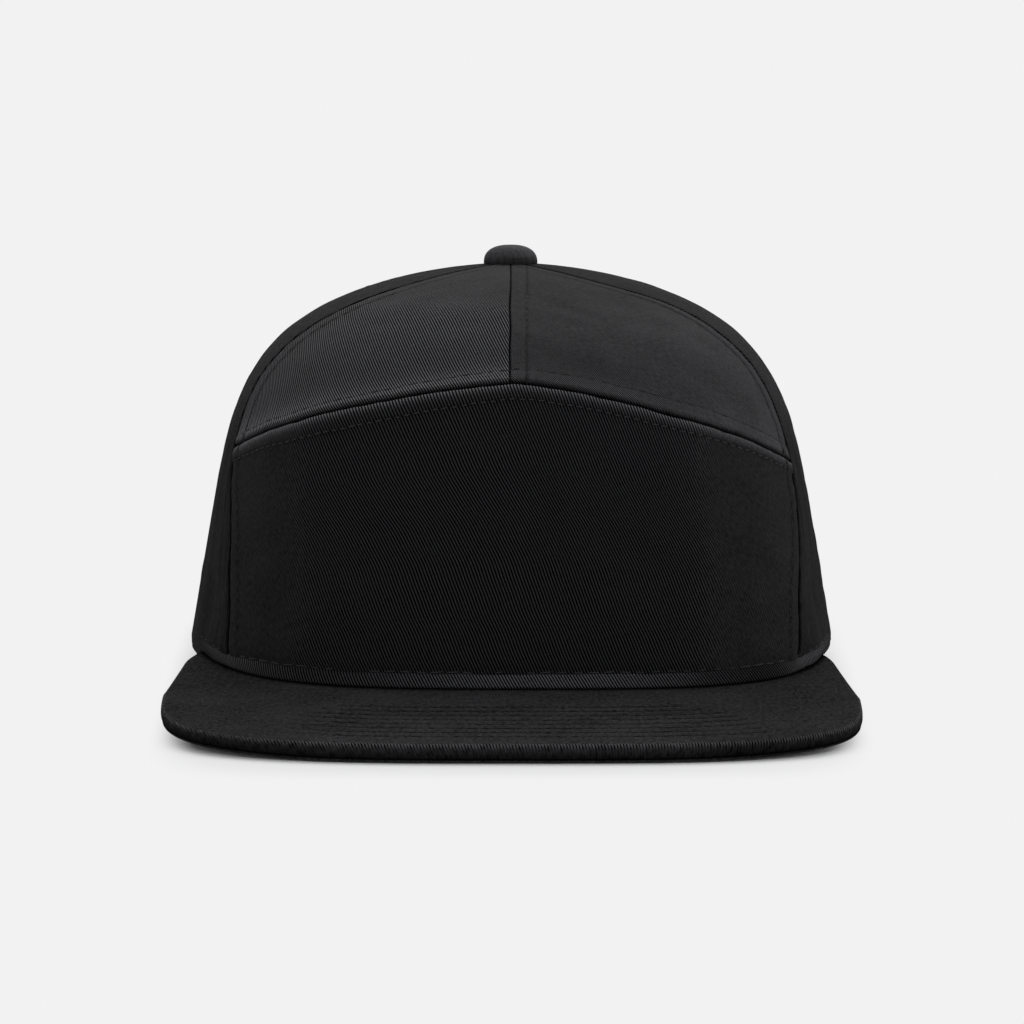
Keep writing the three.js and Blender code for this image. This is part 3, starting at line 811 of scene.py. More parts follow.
visorEdge = {
    "roll": 1.5, "power": 2.8, "turns": 26, "under": 1.2, "cornerDrop": 0.25, "cornerLift": 0.65,
    "corner": (40, 84), "tipThinning": 2.0, "tipLength": 22.0, "tipRound": 2.0, "tipReach": 14.0,
    "narrowest": 3.5, "seamAt": 0.78, "seamDepth": 0.5, "seamWidth": 0.1,
    # its painted light and shade, over a height from -1 below to 1 above: painted shade darker downwards,
    # where the edge faces away from the light, a dark seam, a lighter lip; and a painted highlight along the
    # top of the roll and on the top cloth just inside it
    "shade": 0.28, "shadeEnds": (-0.5, 0.9), "seamDark": 0.8, "lip": 0.55, "lipEnds": (0.08, 0.16),
    "edgeHighlight": 0.9, "edgeHighlightAt": 0.9, "edgeHighlightWidth": 0.22, "edgeHighlightReach": 1.2,
}
visorQuilt = {
    "rows": 8, "first": 10.7, "pitch": 5.13, "puff": 0.1, "wave": 0.1, "waveLengths": (15, 9),
    "fade": 0.85, "fadeLeft": (42, 66), "fadeRight": (62, 84), "sideways": (0.7, 0.97),
    "columns": 300, "stepsAbove": 100, "stepsBelow": 46,
    # shade and sideFall are painted light: the visor drawn darker, and darker still towards its sides
    "shade": 0.68, "sideFall": 0.36, "sideEnds": (30, 78),
    "creaseShadow": 0.92, "creaseReach": 3.2, "creaseShift": 2.4, "creaseEnds": (45, 78),
}
visorRibs = {"flat": 0.1, "edge": 0.5, "edgeReach": 1.6, "edgeAt": 0.95, "edgeWidth": 0.35,
             "leftFall": 0.6, "leftEnds": (45, 75)}
fineOutline = visorOutline(1400)
quiltRows = visorQuilt["first"] + visorQuilt["pitch"] * np.arange(visorQuilt["rows"])


def visorSkin(x, y, level, up):
    # level of the cover: grooves along the stitch rows, soft swells between them; with it the row
    # count, whole at each row, and how clearly the rows show, less towards the sides
    index, distance = nearest(np.stack([x, y], -1), fineOutline)
    count = (distance - quiltRows[0]) / visorQuilt["pitch"]
    lastRow = visorQuilt["rows"] - 1
    inside = smooth(count, -0.3, -0.2) * (1 - smooth(count, lastRow + 0.2, lastRow + 0.3))
    sideways = np.abs(unit(np.gradient(fineOutline, axis=0)))[index, 0]
    aside = np.maximum(smooth(-x, *visorQuilt["fadeLeft"]), smooth(x, *visorQuilt["fadeRight"]))
    clear = (1 - visorQuilt["fade"] * aside) * smooth(sideways, *visorQuilt["sideways"])
    swell = 0.5 - 0.5 * np.cos(2 * math.pi * count)
    lengthways, frontToBack = visorQuilt["waveLengths"]
    ripple = wander(x / lengthways, 1.0) * wander(y / frontToBack, 2.0) * smooth(distance, 2, 6)
    proud = visorQuilt["puff"] * (swell - 1) * inside * clear + visorQuilt["wave"] * ripple
    return level(x, y) + up * proud, count, inside * clear


def visorOver(x, y):
    # the cover's top, a little lower towards the corners
    return visorTop(y) - visorEdge["cornerDrop"] * smooth(np.abs(x), *visorEdge["corner"])


def visorUnder(x, y):
    # the cover's underside, which lifts off the ground towards the corners and thins out to the tips
    lift = visorEdge["cornerLift"] * smooth(np.abs(x), *visorEdge["corner"])
    thin = visorEdge["tipThinning"] * smooth(y, visor["tipY"] - visorEdge["tipLength"], visor["tipY"])
    return visorTop(y) - visor["thickness"] + lift + thin


def makeVisor():
    # each column is a loop from the crown out over the top, round the edge and back underneath
    columns, above, below = (visorQuilt[key] for key in ("columns", "stepsAbove", "stepsBelow"))
    edge = visorOutline(columns + 1)
    nearTip = np.clip((edge[:, 1] - visor["tipY"]) / visorEdge["tipReach"] + 1, 0, 1)
    edge[:, 0] -= np.sign(edge[:, 0]) * visorEdge["tipRound"] * nearTip ** 2
    leftTip, rightTip = (math.atan2(visor[side]["tipX"], -visor["tipY"]) for side in ("left", "right"))
    angle = np.linspace(-leftTip, rightTip, columns + 1)
    reach = planRadius(angle, 0 * angle) - cloth["wall"] - visorEdge["under"]
    reach = np.minimum(reach, np.linalg.norm(edge, axis=1) - visorEdge["narrowest"])
    inner = np.stack([reach * np.sin(angle), -reach * np.cos(angle)], -1)
    length = np.linalg.norm(inner - edge, axis=1)
    inward = (inner - edge) / length[:, None]
    roll = np.minimum(visorEdge["roll"], length / 3)[:, None]
    flat = length[:, None] - roll
    flatAbove = roll + flat * np.linspace(1, 0, above)[None]
    flatBelow = roll + flat * np.linspace(0, 1, below)[None]
    turn = np.linspace(0, math.pi, visorEdge["turns"])[1:-1]
    bulge, height = squaredOff(np.sin(turn), visorEdge["power"]), squaredOff(np.cos(turn), visorEdge["power"])
    seamHeight = 1 - 2 * visorEdge["seamAt"]
    notch = visorEdge["seamDepth"] * bell(height - seamHeight, 2 * visorEdge["seamWidth"])
    rounded = roll * (1 - bulge)[None] + notch[None]
    inset = np.concatenate([flatAbove, rounded, flatBelow], axis=1)
    place = edge[:, None] + inward[:, None] * inset[..., None]
    x, y = place[..., 0], place[..., 1]
    zAbove, countAbove, clearAbove = visorSkin(x[:, :above], y[:, :above], visorOver, 1)
    zBelow, countBelow, clearBelow = visorSkin(x[:, -below:], y[:, -below:], visorUnder, -1)
    xEdge, yEdge = x[:, above:-below], y[:, above:-below]
    over, under = visorOver(xEdge, yEdge), visorUnder(xEdge, yEdge)
    z = np.concatenate([zAbove, (over + under) / 2 + (over - under) / 2 * height[None], zBelow], axis=1)
    count = np.concatenate([countAbove, 0 * rounded, countBelow], axis=1)
    clear = np.concatenate([clearAbove, 0 * rounded, clearBelow], axis=1)
    down = visorEdge["shade"] + (1 - visorEdge["shade"]) * smooth(height, *visorEdge["shadeEnds"])
    down = down * (1 - visorEdge["seamDark"] * bell(height - seamHeight, visorEdge["seamWidth"]))
    down = down + visorEdge["lip"] * smooth(seamHeight - height, *visorEdge["lipEnds"])
    # painted highlight along the top of the edge's roll, and on the top cloth just inside it
    edgeHighlight = visorEdge["edgeHighlight"] * bell(height - visorEdge["edgeHighlightAt"], visorEdge["edgeHighlightWidth"])
    nearEdge = 1 + visorEdge["edgeHighlight"] * bell(flatAbove, visorEdge["edgeHighlightReach"])
    shade = np.concatenate([nearEdge, (down * (1 + edgeHighlight))[None] + 0 * rounded, 1 + 0 * flatBelow], axis=1)
    # painted light: the whole visor drawn in a darker shade of the twill, darker still towards its sides
    shade *= visorQuilt["shade"] * (1 - visorQuilt["sideFall"] * smooth(np.abs(x), *visorQuilt["sideEnds"]))
    fromCrown = np.hypot(x, y) - planRadius(np.arctan2(x, -y), 0 * x)
    fromCrown = fromCrown + visorQuilt["creaseShift"] * smooth(np.abs(x), *visorQuilt["creaseEnds"])
    shade *= 1 - visorQuilt["creaseShadow"] * (1 - smooth(fromCrown, 0, visorQuilt["creaseReach"]))
    # the twill lines stand out where the cloth is pulled round the edge
    onTop = np.exp(-flatAbove / visorRibs["edgeReach"])
    onEdge = bell(height - visorRibs["edgeAt"], visorRibs["edgeWidth"])[None] + 0 * rounded
    ribs = visorRibs["flat"] + visorRibs["edge"] * np.concatenate([onTop, onEdge, 0 * flatBelow], axis=1)
    ribs *= 1 - visorRibs["leftFall"] * smooth(-x, *visorRibs["leftEnds"])
    points = np.stack([x, y, z], -1)
    loop = points.shape[1]
    v = rowRuns(points)
    # the cloth unfolds outwards past the edge, and the under cloth starts again at the edge's seam
    start, end = above - 1, loop - below
    over, under = v - v[:, start:start + 1], v[:, end:end + 1] - v
    fromTop = place[:, start:start + 1] - inward[:, None] * over[..., None]
    fromBelow = place[:, end:end + 1] - inward[:, None] * under[..., None]
    isTop = np.arange(loop) < above + np.argmax(height < seamHeight)
    uv = np.where(isTop[None, :, None], fromTop, fromBelow)
    k = np.arange(loop // 2 - 1)
    ends = np.stack([k, k + 1, loop - 2 - k, loop - 1 - k], -1)
    makePiece("visor_cover", points.reshape(-1, 3),
              [gridFaces(columns + 1, loop, closed=True), ends[:, ::-1], ends + columns * loop],
              visorTwill, "twill", uv.reshape(-1, 2), ("visor",), shade, ribs, count, clear)


makeVisor()
print("visor covered")


# Bands rolled over raw edges
rimBand = {"behind": 0.3, "lift": 0.08, "power": 3.0, "turns": 44, "columns": 620}


def bandLoop(width, thick, power, turns):
    # a squared oval: across the band and out from the cloth, running down the outer face
    turn = np.linspace(0, 2 * math.pi, turns, endpoint=False)
    return width / 2 * squaredOff(np.cos(turn), power), thick / 2 * squaredOff(np.sin(turn), power)


def closeEnds(rows, loop):
    # the two end faces of a tube whose loops have an even number of points
    k = np.arange(1, loop // 2)
    a, b = k, loop - k
    quads = [np.stack([a[:-1], a[1:], b[1:], b[:-1]], -1)]
    tips = [np.array([[0, a[0], b[0]]]), np.array([[a[-1], loop // 2, b[-1]]])]
    first, last = quads + tips, [g + (rows - 1) * loop for g in quads + tips]
    return [*(g[:, ::-1] for g in last), *first]


def makeRimBand():
    # the turned-up edge: drawn in under the stitching, bulging below it, rolled in at the bottom
    limit = math.radians(180 - opening["half"])
    angle = np.linspace(-limit, limit, rimBand["columns"])[:, None]
    thick = cloth["wall"] + rimBand["behind"]
    up, out = bandLoop(hem["height"], thick, rimBand["power"], rimBand["turns"])
    run = runAlong(crownSkin(angle[:, 0], 0 * angle[:, 0]))[:, None]
    rise = hem["height"] / 2 + rimBand["lift"] + up[None, :] + 0 * angle
    outerSide = smooth(out / thick, -0.1, 0.4)[None, :]
    ahead = 1 - smooth(np.abs(np.degrees(angle)), *hem["bulgeEnds"])
    lowness = 1 - rise / hem["height"]
    ripple = hem["ripple"] * wander(run / hem["rippleLength"], 1.0)
    wave = hem["wave"] * wander(run / hem["waveLength"], 2.0)
    bulge = hem["bulge"] * (hem["bulgeBehind"] + (1 - hem["bulgeBehind"]) * ahead)
    bulge = lowness * (bulge + ripple + wave)
    shift = out[None, :] - thick / 2 + outerSide * (bulge - hem["pinch"]) - hemTuck(angle, rise)
    wide = angle + 0 * rise
    share = shareAt(wide, rise)
    points = crownSkin(wide, share) + levelNormal(wide, share) * (shift - creaseDepth(wide, share))[..., None]
    # over the visor the lower edge is pressed down on it
    turned = np.abs(np.degrees(wide))
    points[..., 2] -= np.interp(turned, *zip(*hem["sinks"])) * np.clip(lowness, 0, 1)
    # painted light: the band's shade by the angle round from the front, and painted shade at its rolled-in
    # bottom
    shade = np.interp(np.degrees(wide), *zip(*hem["shades"])) * (0.1 + 0.9 * smooth(rise, 0.1, 1.0))
    around = runAlong(np.stack([up, out], -1))
    uv = turnedCloth(run + 0 * rise, -around[None, :] + 0 * run, 12) * 1.15
    makePiece("rim_band", points.reshape(-1, 3),
              [gridFaces(*wide.shape, closed=True), *closeEnds(*wide.shape)], panelTwill, "twill",
              uv.reshape(-1, 2), shade=shade)


def hemStitching(start, end):
    angle = np.radians(np.arange(start, end, 0.2))
    share = shareAt(angle, hem["stitchRise"] + 0 * angle)
    normal = levelNormal(angle, share)
    depth = hem["pinch"] + creaseDepth(angle, share)
    return crownSkin(angle, share) - normal * depth[:, None], normal


def besideOnSkin(angle, share, way, distance):
    # steps across the skin, square to a line that runs along the way (turn, climb) there
    around, up = crownSlopes(angle, share)
    along = unit(around * way[..., :1] + up * way[..., 1:])
    side = np.cross(along, unit(np.cross(around, up)))
    aa, au, uu = (around * around).sum(-1), (around * up).sum(-1), (up * up).sum(-1)
    sa, su = (side * around).sum(-1), (side * up).sum(-1)
    span = aa * uu - au * au
    return angle + distance * (sa * uu - su * au) / span, share + distance * (su * aa - sa * au) / span


openBand = {"width": 6.0, "over": 4.6, "proud": 0.7, "behind": 0.5, "power": 3.2, "turns": 40,
            "columns": 260, "stitchIn": 3.6}


def openingLine(margin, count):
    # the opening's edge, half an oval in angle and share, and its way (turn, climb) at each place
    turn = np.linspace(margin, math.pi - margin, count)
    half = math.radians(opening["half"])
    way = np.stack([half * np.sin(turn), opening["top"] * np.cos(turn)], -1)
    return math.pi - half * np.cos(turn), opening["top"] * np.sin(turn), way


def makeOpenBand():
    # a folded strip whose middle rides just inside the opening's edge
    angle, share, way = openingLine(0.02, openBand["columns"])
    across, out = bandLoop(openBand["width"], openBand["proud"] + cloth["wall"] + openBand["behind"],
                           openBand["power"], openBand["turns"])
    middle = (openBand["proud"] - cloth["wall"] - openBand["behind"]) / 2
    shift = openBand["over"] - openBand["width"] / 2
    wide = np.broadcast_to(angle[:, None], (len(angle), len(across)))
    tall = np.broadcast_to(share[:, None], wide.shape)
    ways = np.broadcast_to(way[:, None], (*wide.shape, 2))
    a, s = besideOnSkin(wide, tall, ways, -(shift + across)[None, :] + 0 * wide)
    points = crownPoint(a, np.maximum(s, 0.0), -(middle + out)[None, :] + 0 * wide)
    points[..., 2] = np.maximum(points[..., 2], 0.02)
    run = runAlong(crownSkin(angle, share))[:, None]
    around = runAlong(np.stack([across, out], -1))
    uv = np.stack([run + 0 * wide, -around[None, :] + 0 * run], -1)
    makePiece("opening_band", points.reshape(-1, 3),
              [gridFaces(*wide.shape, closed=True), *closeEnds(*wide.shape)], biasTwill, "twill",
              uv.reshape(-1, 2))


def openStitching():
    angle, share, way = openingLine(0.12, 500)
    angle, share = besideOnSkin(angle, share, way, -openBand["stitchIn"])
    return crownPoint(angle, share, -openBand["proud"] + 0 * angle), crownNormal(angle, share)


makeRimBand()
makeOpenBand()
print("edges bound")


# Sweatband
sweatband = {"height": 32.0, "thickness": 1.2, "end": 148.0, "ease": 134.0, "lift": 1.0, "gap": 0.5,
             "endInset": 2.0, "columns": 420, "rows": 36, "fold": 0.35, "foldAt": 0.06, "foldWidth": 0.05,
             "ripple": 0.25, "rippleLength": 14}


def makeSweatband():
    angle = np.radians(np.linspace(-sweatband["end"], sweatband["end"], sweatband["columns"]))[None, :]
    climb = np.linspace(0, 1, sweatband["rows"])[:, None]
    rise = sweatband["lift"] + (sweatband["height"] - sweatband["lift"]) * climb
    share = rise / crown["height"] + 0 * angle
    wide = angle + 0 * share
    ease = smooth(np.abs(wide), math.radians(sweatband["ease"]), math.radians(sweatband["end"]))
    inset = cloth["wall"] + sweatband["gap"] + ease * sweatband["endInset"]
    run = runAlong(crownSkin(angle[0], 0 * angle[0]))[None, :]
    buckle = sweatband["ripple"] * wander(run / sweatband["rippleLength"], 1.0) * smooth(climb, 0.1, 0.6)
    fold = bell(climb - sweatband["foldAt"], sweatband["foldWidth"]) + smooth(climb, 0.9, 1)
    fold = sweatband["fold"] * fold
    outer = crownPoint(wide, share, inset)
    inner = crownPoint(wide, share, inset + sweatband["thickness"] + buckle + fold)
    uv = np.stack([run + 0 * share, share * crown["height"]], -1)
    makePiece("sweatband_cloth", bothFaces(outer, inner).reshape(-1, 3), wallFaces(*wide.shape), bandCotton,
              "sweatband_cloth", bothFaces(uv, uv).reshape(-1, 2), replaced=("sweatband",))


makeSweatband()
print("sweatband in")


# Straps
strap = {"bend": 96.0, "rise": 104.0, "bottom": 1.0, "height": 20.0, "thickness": 1.2, "sewnEnd": 57.0,
         "freeEnd": 34.0, "endRound": 9.0, "pitch": 9.0, "count": 7, "hole": 2.8, "stepStart": 40.0,
         "stepEnd": 54.0, "edge": 0.3, "bevelPast": 50}
stud = {"radius": 2.2, "root": 2.1, "proud": 0.6, "edge": 0.56, "dish": 0.48, "sides": 28}
strapInset = cloth["wall"] + pieceGap
strapLayer = strap["thickness"] + pieceGap
cellHalf, cellSteps, sideRows, rings = strap["pitch"] / 2, 8, 6, 4


def strapHalf(x, towards):
    # half the strap's height: straight, then a quarter circle towards the free end
    past = np.clip((x * towards - (strap["freeEnd"] - strap["endRound"])) / strap["endRound"], 0, 1)
    return strap["height"] / 2 - strap["endRound"] * (1 - np.sqrt(1 - past ** 2))


def onStrap(x, across, inset):
    share = (strap["bottom"] + strap["height"] / 2 + across) / strap["rise"]
    return crownPoint(math.pi - x / strap["bend"], share, inset)


def strapSheet(towards, holed):
    # a grid in even steps, with a ring of quads round each hole
    pitchStep = strap["pitch"] / cellSteps
    lastCell = (strap["count"] - 1) / 2 * strap["pitch"] + cellHalf
    toSewn = np.arange(-lastCell, strap["sewnEnd"], pitchStep)
    toFree = lastCell + (strap["freeEnd"] - lastCell) * np.sin(np.linspace(0, math.pi / 2, 7)[1:])
    x = np.concatenate([-toFree[::-1], toSewn, [strap["sewnEnd"]]]) * -towards
    half = strapHalf(x, towards)[:, None]
    middle = cellHalf * np.minimum(half / strapHalf(np.array([lastCell]), 1), 1)
    low = np.linspace(-1, 0, sideRows + 1)[None, :-1]
    core = np.linspace(-1, 1, cellSteps + 1)[None, :]
    beyond = half - middle
    across = np.concatenate([-middle + low * beyond, middle * core, middle - low[:, ::-1] * beyond], 1)
    places = np.stack([x[:, None] + 0 * across, across], -1)
    rows, columns = across.shape
    quads = gridFaces(rows, columns)
    parts, faces = [places.reshape(-1, 2)], []
    if holed:
        firstRow, firstColumn = len(toFree), sideRows
        j, i = quads[:, 0] // columns, quads[:, 0] % columns
        inCell = (j >= firstRow) & (j < firstRow + strap["count"] * cellSteps)
        inCell &= (i >= firstColumn) & (i < firstColumn + cellSteps)
        faces.append(quads[~inCell])
        n, total = cellSteps, rows * columns
        walk = np.arange(n)
        loopRow = np.concatenate([walk * 0, walk, walk * 0 + n, n - walk])
        loopColumn = np.concatenate([walk, walk * 0 + n, n - walk, walk * 0])
        for cell in range(strap["count"]):
            border = (firstRow + cell * n + loopRow) * columns + firstColumn + loopColumn
            corner = places.reshape(-1, 2)[border]
            centre = corner.mean(0)
            way = (corner - centre) / np.linalg.norm(corner - centre, axis=1, keepdims=True)
            circle = centre + way * strap["hole"]
            part = np.linspace(0, 1, rings + 1)[1:, None, None]
            parts.append((corner * (1 - part) + circle * part).reshape(-1, 2))
            ids = np.vstack([border, total + np.arange(rings * 4 * n).reshape(rings, -1)])
            after = np.roll(ids, -1, axis=1)
            faces.append(np.stack([ids[:-1], after[:-1], after[1:], ids[1:]], -1).reshape(-1, 4))
            total += rings * 4 * n
    else:
        faces.append(quads)
    return np.vstack(parts), np.vstack(faces)


def outward(points, faces, centre, judged=slice(None)):
    # turns every face round if the judged ones look towards the centre
    a, b, c = (points[faces[judged, k]] for k in (0, 1, 2))
    facing = (np.cross(b - a, c - a) * (a - centre)).sum()
    return faces if facing > 0 else faces[:, ::-1]


def finishStrap(piece):
    wall = piece.modifiers.new("wall", "SOLIDIFY")
    wall.thickness, wall.offset, wall.use_even_offset = strap["thickness"] * mm, -1, True
    rounded = piece.modifiers.new("edges", "BEVEL")
    rounded.width, rounded.segments, rounded.limit_method = strap["edge"] * mm, 2, "ANGLE"
    rounded.angle_limit = math.radians(strap["bevelPast"])


def makeStraps():
    middle = np.array([0, 0, strap["height"] / 2])
    # the strap with the studs lies under the other, and steps up to the cloth towards its sewn end
    for name, towards, holed in (("strap_with_holes", -1, True), ("strap_with_studs", 1, False)):
        flat, faces = strapSheet(towards, holed)
        x, across = flat.T
        step = 0 * x if holed else smooth(x, -strap["stepEnd"], -strap["stepStart"])
        points = onStrap(x, across, strapInset + strapLayer * step)
        finishStrap(makePiece(name + "_moulded", points, outward(points, faces, middle), plastic,
                              "strap_plastic", replaced=(name,)))
    # a stud turned from its root: straight stem, round shoulder, dished face
    radius, proud, edge = stud["radius"], stud["proud"], stud["edge"]
    profile = np.array([[radius, -stud["root"]], [radius, -0.1], [2.16, 0.18], [2.02, 0.42], [1.75, edge],
                        [1.4, proud], [1.0, edge], [0.5, 0.5]])
    turn = np.linspace(0, 2 * math.pi, stud["sides"], endpoint=False)
    share = np.array([(strap["bottom"] + strap["height"] / 2) / strap["rise"]])
    studs = []
    for place in (np.arange(strap["count"]) - (strap["count"] - 1) / 2) * strap["pitch"]:
        angle = np.array([math.pi - place / strap["bend"]])
        out = crownNormal(angle, share)[0]
        base = crownPoint(angle, share, strapInset)[0]
        side = unit(np.cross(out, [0, 0, 1.0]))
        rise = np.cross(side, out)
        ring = np.cos(turn)[:, None] * side + np.sin(turn)[:, None] * rise
        body = base + profile[:, None, :1] * ring[None] + profile[:, None, 1:] * out
        vertices = np.vstack([body.reshape(-1, 3), base + stud["dish"] * out, base - stud["root"] * out])
        studs.append((vertices, latheFaces(len(profile), len(turn))))
    makePiece("strap_studs", *joinLathes(studs), plastic, "strap_plastic")


def latheFaces(rows, columns):
    # rings from the first row to the last, closed by fans: the last ring's pole comes first
    quads = gridFaces(rows, columns, closed=True)
    i = np.arange(columns)
    after = (i + 1) % columns
    last, pole = (rows - 1) * columns, rows * columns
    top = np.stack([last + i, last + after, np.full(columns, pole)], -1)
    bottom = np.stack([after, i, np.full(columns, pole + 1)], -1)
    return quads, np.vstack([top, bottom])


def joinLathes(parts):
    counts = np.cumsum([0] + [len(v) for v, f in parts])
    quads = np.vstack([f[0] + n for (v, f), n in zip(parts, counts)])
    fans = np.vstack([f[1] + n for (v, f), n in zip(parts, counts)])
    return np.vstack([v for v, f in parts]), [quads, fans]


makeStraps()
print("straps moulded")


# Button
button = {
    "radius": 7.25, "height": 4.95, "shoulder": 0.1, "roundness": 2.45, "foot": -1.2, "undercut": 0.35,
    "washerRadius": 5.0, "washer": 0.8, "postRadius": 1.2, "postTop": 0.2, "tilt": 3.0, "columns": 144,
    "pleats": 13, "pleatDepth": 0.22, "pleatedPast": 6, "shadedTo": 2.6, "shade": 1.5,
    # two shallow folds that arc across the front, on the right: levels in mm, middle and reach in radians
    "folds": (0.55, 1.35), "foldWidth": 0.16, "foldDepth": 0.15, "foldMiddle": 0.35, "foldReach": 0.5,
    "foldBow": 0.25,
}


def makeButton():
    # a turned profile: washer, post, undercut, then a dome gathered by pleats that fade upwards
    washerTop = -cloth["wall"] - pieceGap
    wide, post, top = button["washerRadius"], button["postRadius"], button["postTop"]
    stem = [[wide * t, washerTop - button["washer"]] for t in (0.3, 0.6, 0.94)]
    stem += [[wide, washerTop - button["washer"] / 2], [wide * 0.94, washerTop]]
    stem += [[post * 1.3, washerTop], [post, washerTop + 0.3], [post, top]]
    under = [[t * (button["radius"] - button["undercut"]), top + (button["foot"] - top) * t ** 3]
             for t in np.linspace(0.35, 1, 8)]
    turn = np.linspace(math.pi / 2 + 0.9, 0.03, 46)
    shoulder = button["shoulder"]
    rise = np.where(turn > math.pi / 2, shoulder - button["foot"], button["height"] - shoulder)
    out, up = squaredOff(np.sin(turn), button["roundness"]), squaredOff(np.cos(turn), button["roundness"])
    dome = np.stack([button["radius"] * out, shoulder + rise * up], -1)
    profile = np.vstack([stem, under, dome])
    around = np.linspace(0, 2 * math.pi, button["columns"], endpoint=False)
    radius, level = profile[:, :1], profile[:, 1:]
    outside = radius > button["pleatedPast"]
    low = np.clip((button["height"] - level) / (button["height"] - button["foot"]), 0, 1) * outside
    pleat = button["pleatDepth"] * low ** 2 * wander(around * button["pleats"] / 2.37, 0.7)[None, :]
    aside = around - button["foldMiddle"]
    ahead = bell(aside, button["foldReach"]) + bell(aside - 2 * math.pi, button["foldReach"])
    bow = level - button["foldBow"] * aside[None, :] ** 2 * (around[None, :] < 3)
    fold = sum(bell(bow - at, button["foldWidth"]) for at in button["folds"]) * ahead[None, :] * outside
    radius = radius - (pleat + button["foldDepth"] * fold) * outside
    # painted shade: the button darker towards its foot and in its folds; its shade as a whole is painted
    # light
    lit = 0.25 + 0.75 * smooth(level, button["foot"] + 0.4, button["shadedTo"])
    shade = button["shade"] * lit * (1 - 0.6 * fold)
    shade = np.concatenate([(shade + 0 * around).ravel(), [button["shade"]] * 2])
    crownTop = crownSkin(np.array(0.0), np.array(1.0))
    x, y, z = radius * np.sin(around), -radius * np.cos(around), level + 0 * radius
    tilt = -math.radians(button["tilt"])
    poles = np.array([[0, 0, button["height"]], [0, 0, washerTop - button["washer"]]])
    body = np.vstack([np.stack([x, y, z], -1).reshape(-1, 3), poles])
    turned = np.stack([body[:, 0], body[:, 1] * math.cos(tilt) - body[:, 2] * math.sin(tilt),
                       body[:, 1] * math.sin(tilt) + body[:, 2] * math.cos(tilt)], -1)
    faces = latheFaces(len(profile), button["columns"])
    makePiece("button_cover", turned + crownTop, list(faces), biasTwill, "twill", body[:, :2] * 1.15,
              ("button",), shade, 0.0)


makeButton()
print("button on")


# Stitches: short lengths of thread, their ends sunk in the cloth
stitch = {"seamPitch": 3.4, "archPitch": 2.5, "hemPitch": 4.0, "visorPitch": 3.3, "share": 0.8,
          "radius": 0.17, "sink": 0.3, "lift": -0.03, "visorLift": -0.12, "sides": 6, "skew": 0.12,
          "stray": 0.1, "dip": 0.06, "reach": 1.2}


def threadRuns(lines, name, pitch, tone, lift=stitch["lift"]):
    # lines are (points, normals); each stitch is a fat hexagonal tube bowed along its line
    ends = np.array([-1, -0.84, -0.4, 0.4, 0.84, 1.0])
    girth = np.array([0.4, 0.85, 1, 1, 0.85, 0.4])
    turn = np.linspace(0, 2 * math.pi, stitch["sides"], endpoint=False)
    centres, ways, ups = [], [], []
    for points, normals in lines:
        run = runAlong(points)
        if run[-1] < 2 * pitch:
            continue
        count = int(run[-1] // pitch)
        at = (np.arange(count) + 0.5) * run[-1] / count
        centres.append(placesAt(run, points, at))
        ahead, behind = (placesAt(run, points, at + step) for step in (stitch["reach"], -stitch["reach"]))
        ways.append(ahead - behind)
        ups.append(placesAt(run, normals, at))
    centre, way, up = np.vstack(centres), unit(np.vstack(ways)), unit(np.vstack(ups))
    side = unit(np.cross(way, up))
    up = np.cross(side, way)
    n, radius = len(centre), stitch["radius"]
    uneven = wander(np.arange(n) * 1.9, 0.3)[:, None]  # no two stitches lie quite alike
    way = unit(way + stitch["skew"] * uneven * side)
    centre = centre + stitch["stray"] * uneven[::-1] * side - stitch["dip"] * uneven * up
    along = ends * pitch * stitch["share"] / 2
    drop = lift - stitch["sink"] * ends ** 4
    spine = centre[:, None] + way[:, None] * along[:, None] + up[:, None] * drop[:, None]
    ring = side[:, None, None] * np.cos(turn)[:, None] + up[:, None, None] * np.sin(turn)[:, None]
    tube = spine[:, :, None] + ring * (girth * radius)[None, :, None, None]
    rows, columns = len(ends), stitch["sides"]
    skin = gridFaces(rows, columns, closed=True)
    first = np.array([[0, 3, 2, 1], [0, 5, 4, 3]])
    last = (first + (rows - 1) * columns)[:, ::-1]
    one = np.vstack([skin, first, last])
    faces = (one[None] + (np.arange(n) * rows * columns)[:, None, None]).reshape(-1, 4)
    points = tube.reshape(-1, 3)
    faces = outward(points, faces, tube[0, 0].mean(0), judged=slice(1))
    makePiece(name, points, faces, threads[tone], "twill")


def visorRows():
    # lines at set distances inside the outline, up to the crown's rim
    lines = []
    outline = visorOutline(900)
    way = np.gradient(outline, axis=0)
    inward = np.stack([-way[:, 1], way[:, 0]], -1) / np.linalg.norm(way, axis=1, keepdims=True)
    for row in quiltRows:
        line = outline + inward * row
        clear = nearest(line[None], fineOutline)[1][0] > row - 0.08  # where it doesn't turn back on itself
        angle = np.arctan2(line[:, 0], -line[:, 1])
        clear &= np.hypot(*line.T) > planRadius(angle, 0 * angle) + 1.5  # clear of the rolled rim
        clear &= line[:, 1] < visor["tipY"]
        line = line[clear]
        for up, level in ((1, visorOver), (-1, visorUnder)):
            z = visorSkin(line[None, :, 0], line[None, :, 1], level, up)[0][0]
            normal = np.tile([0, -visorSlope * up, up], (len(line), 1))
            lines.append((np.column_stack([line, z]), normal))
    return lines


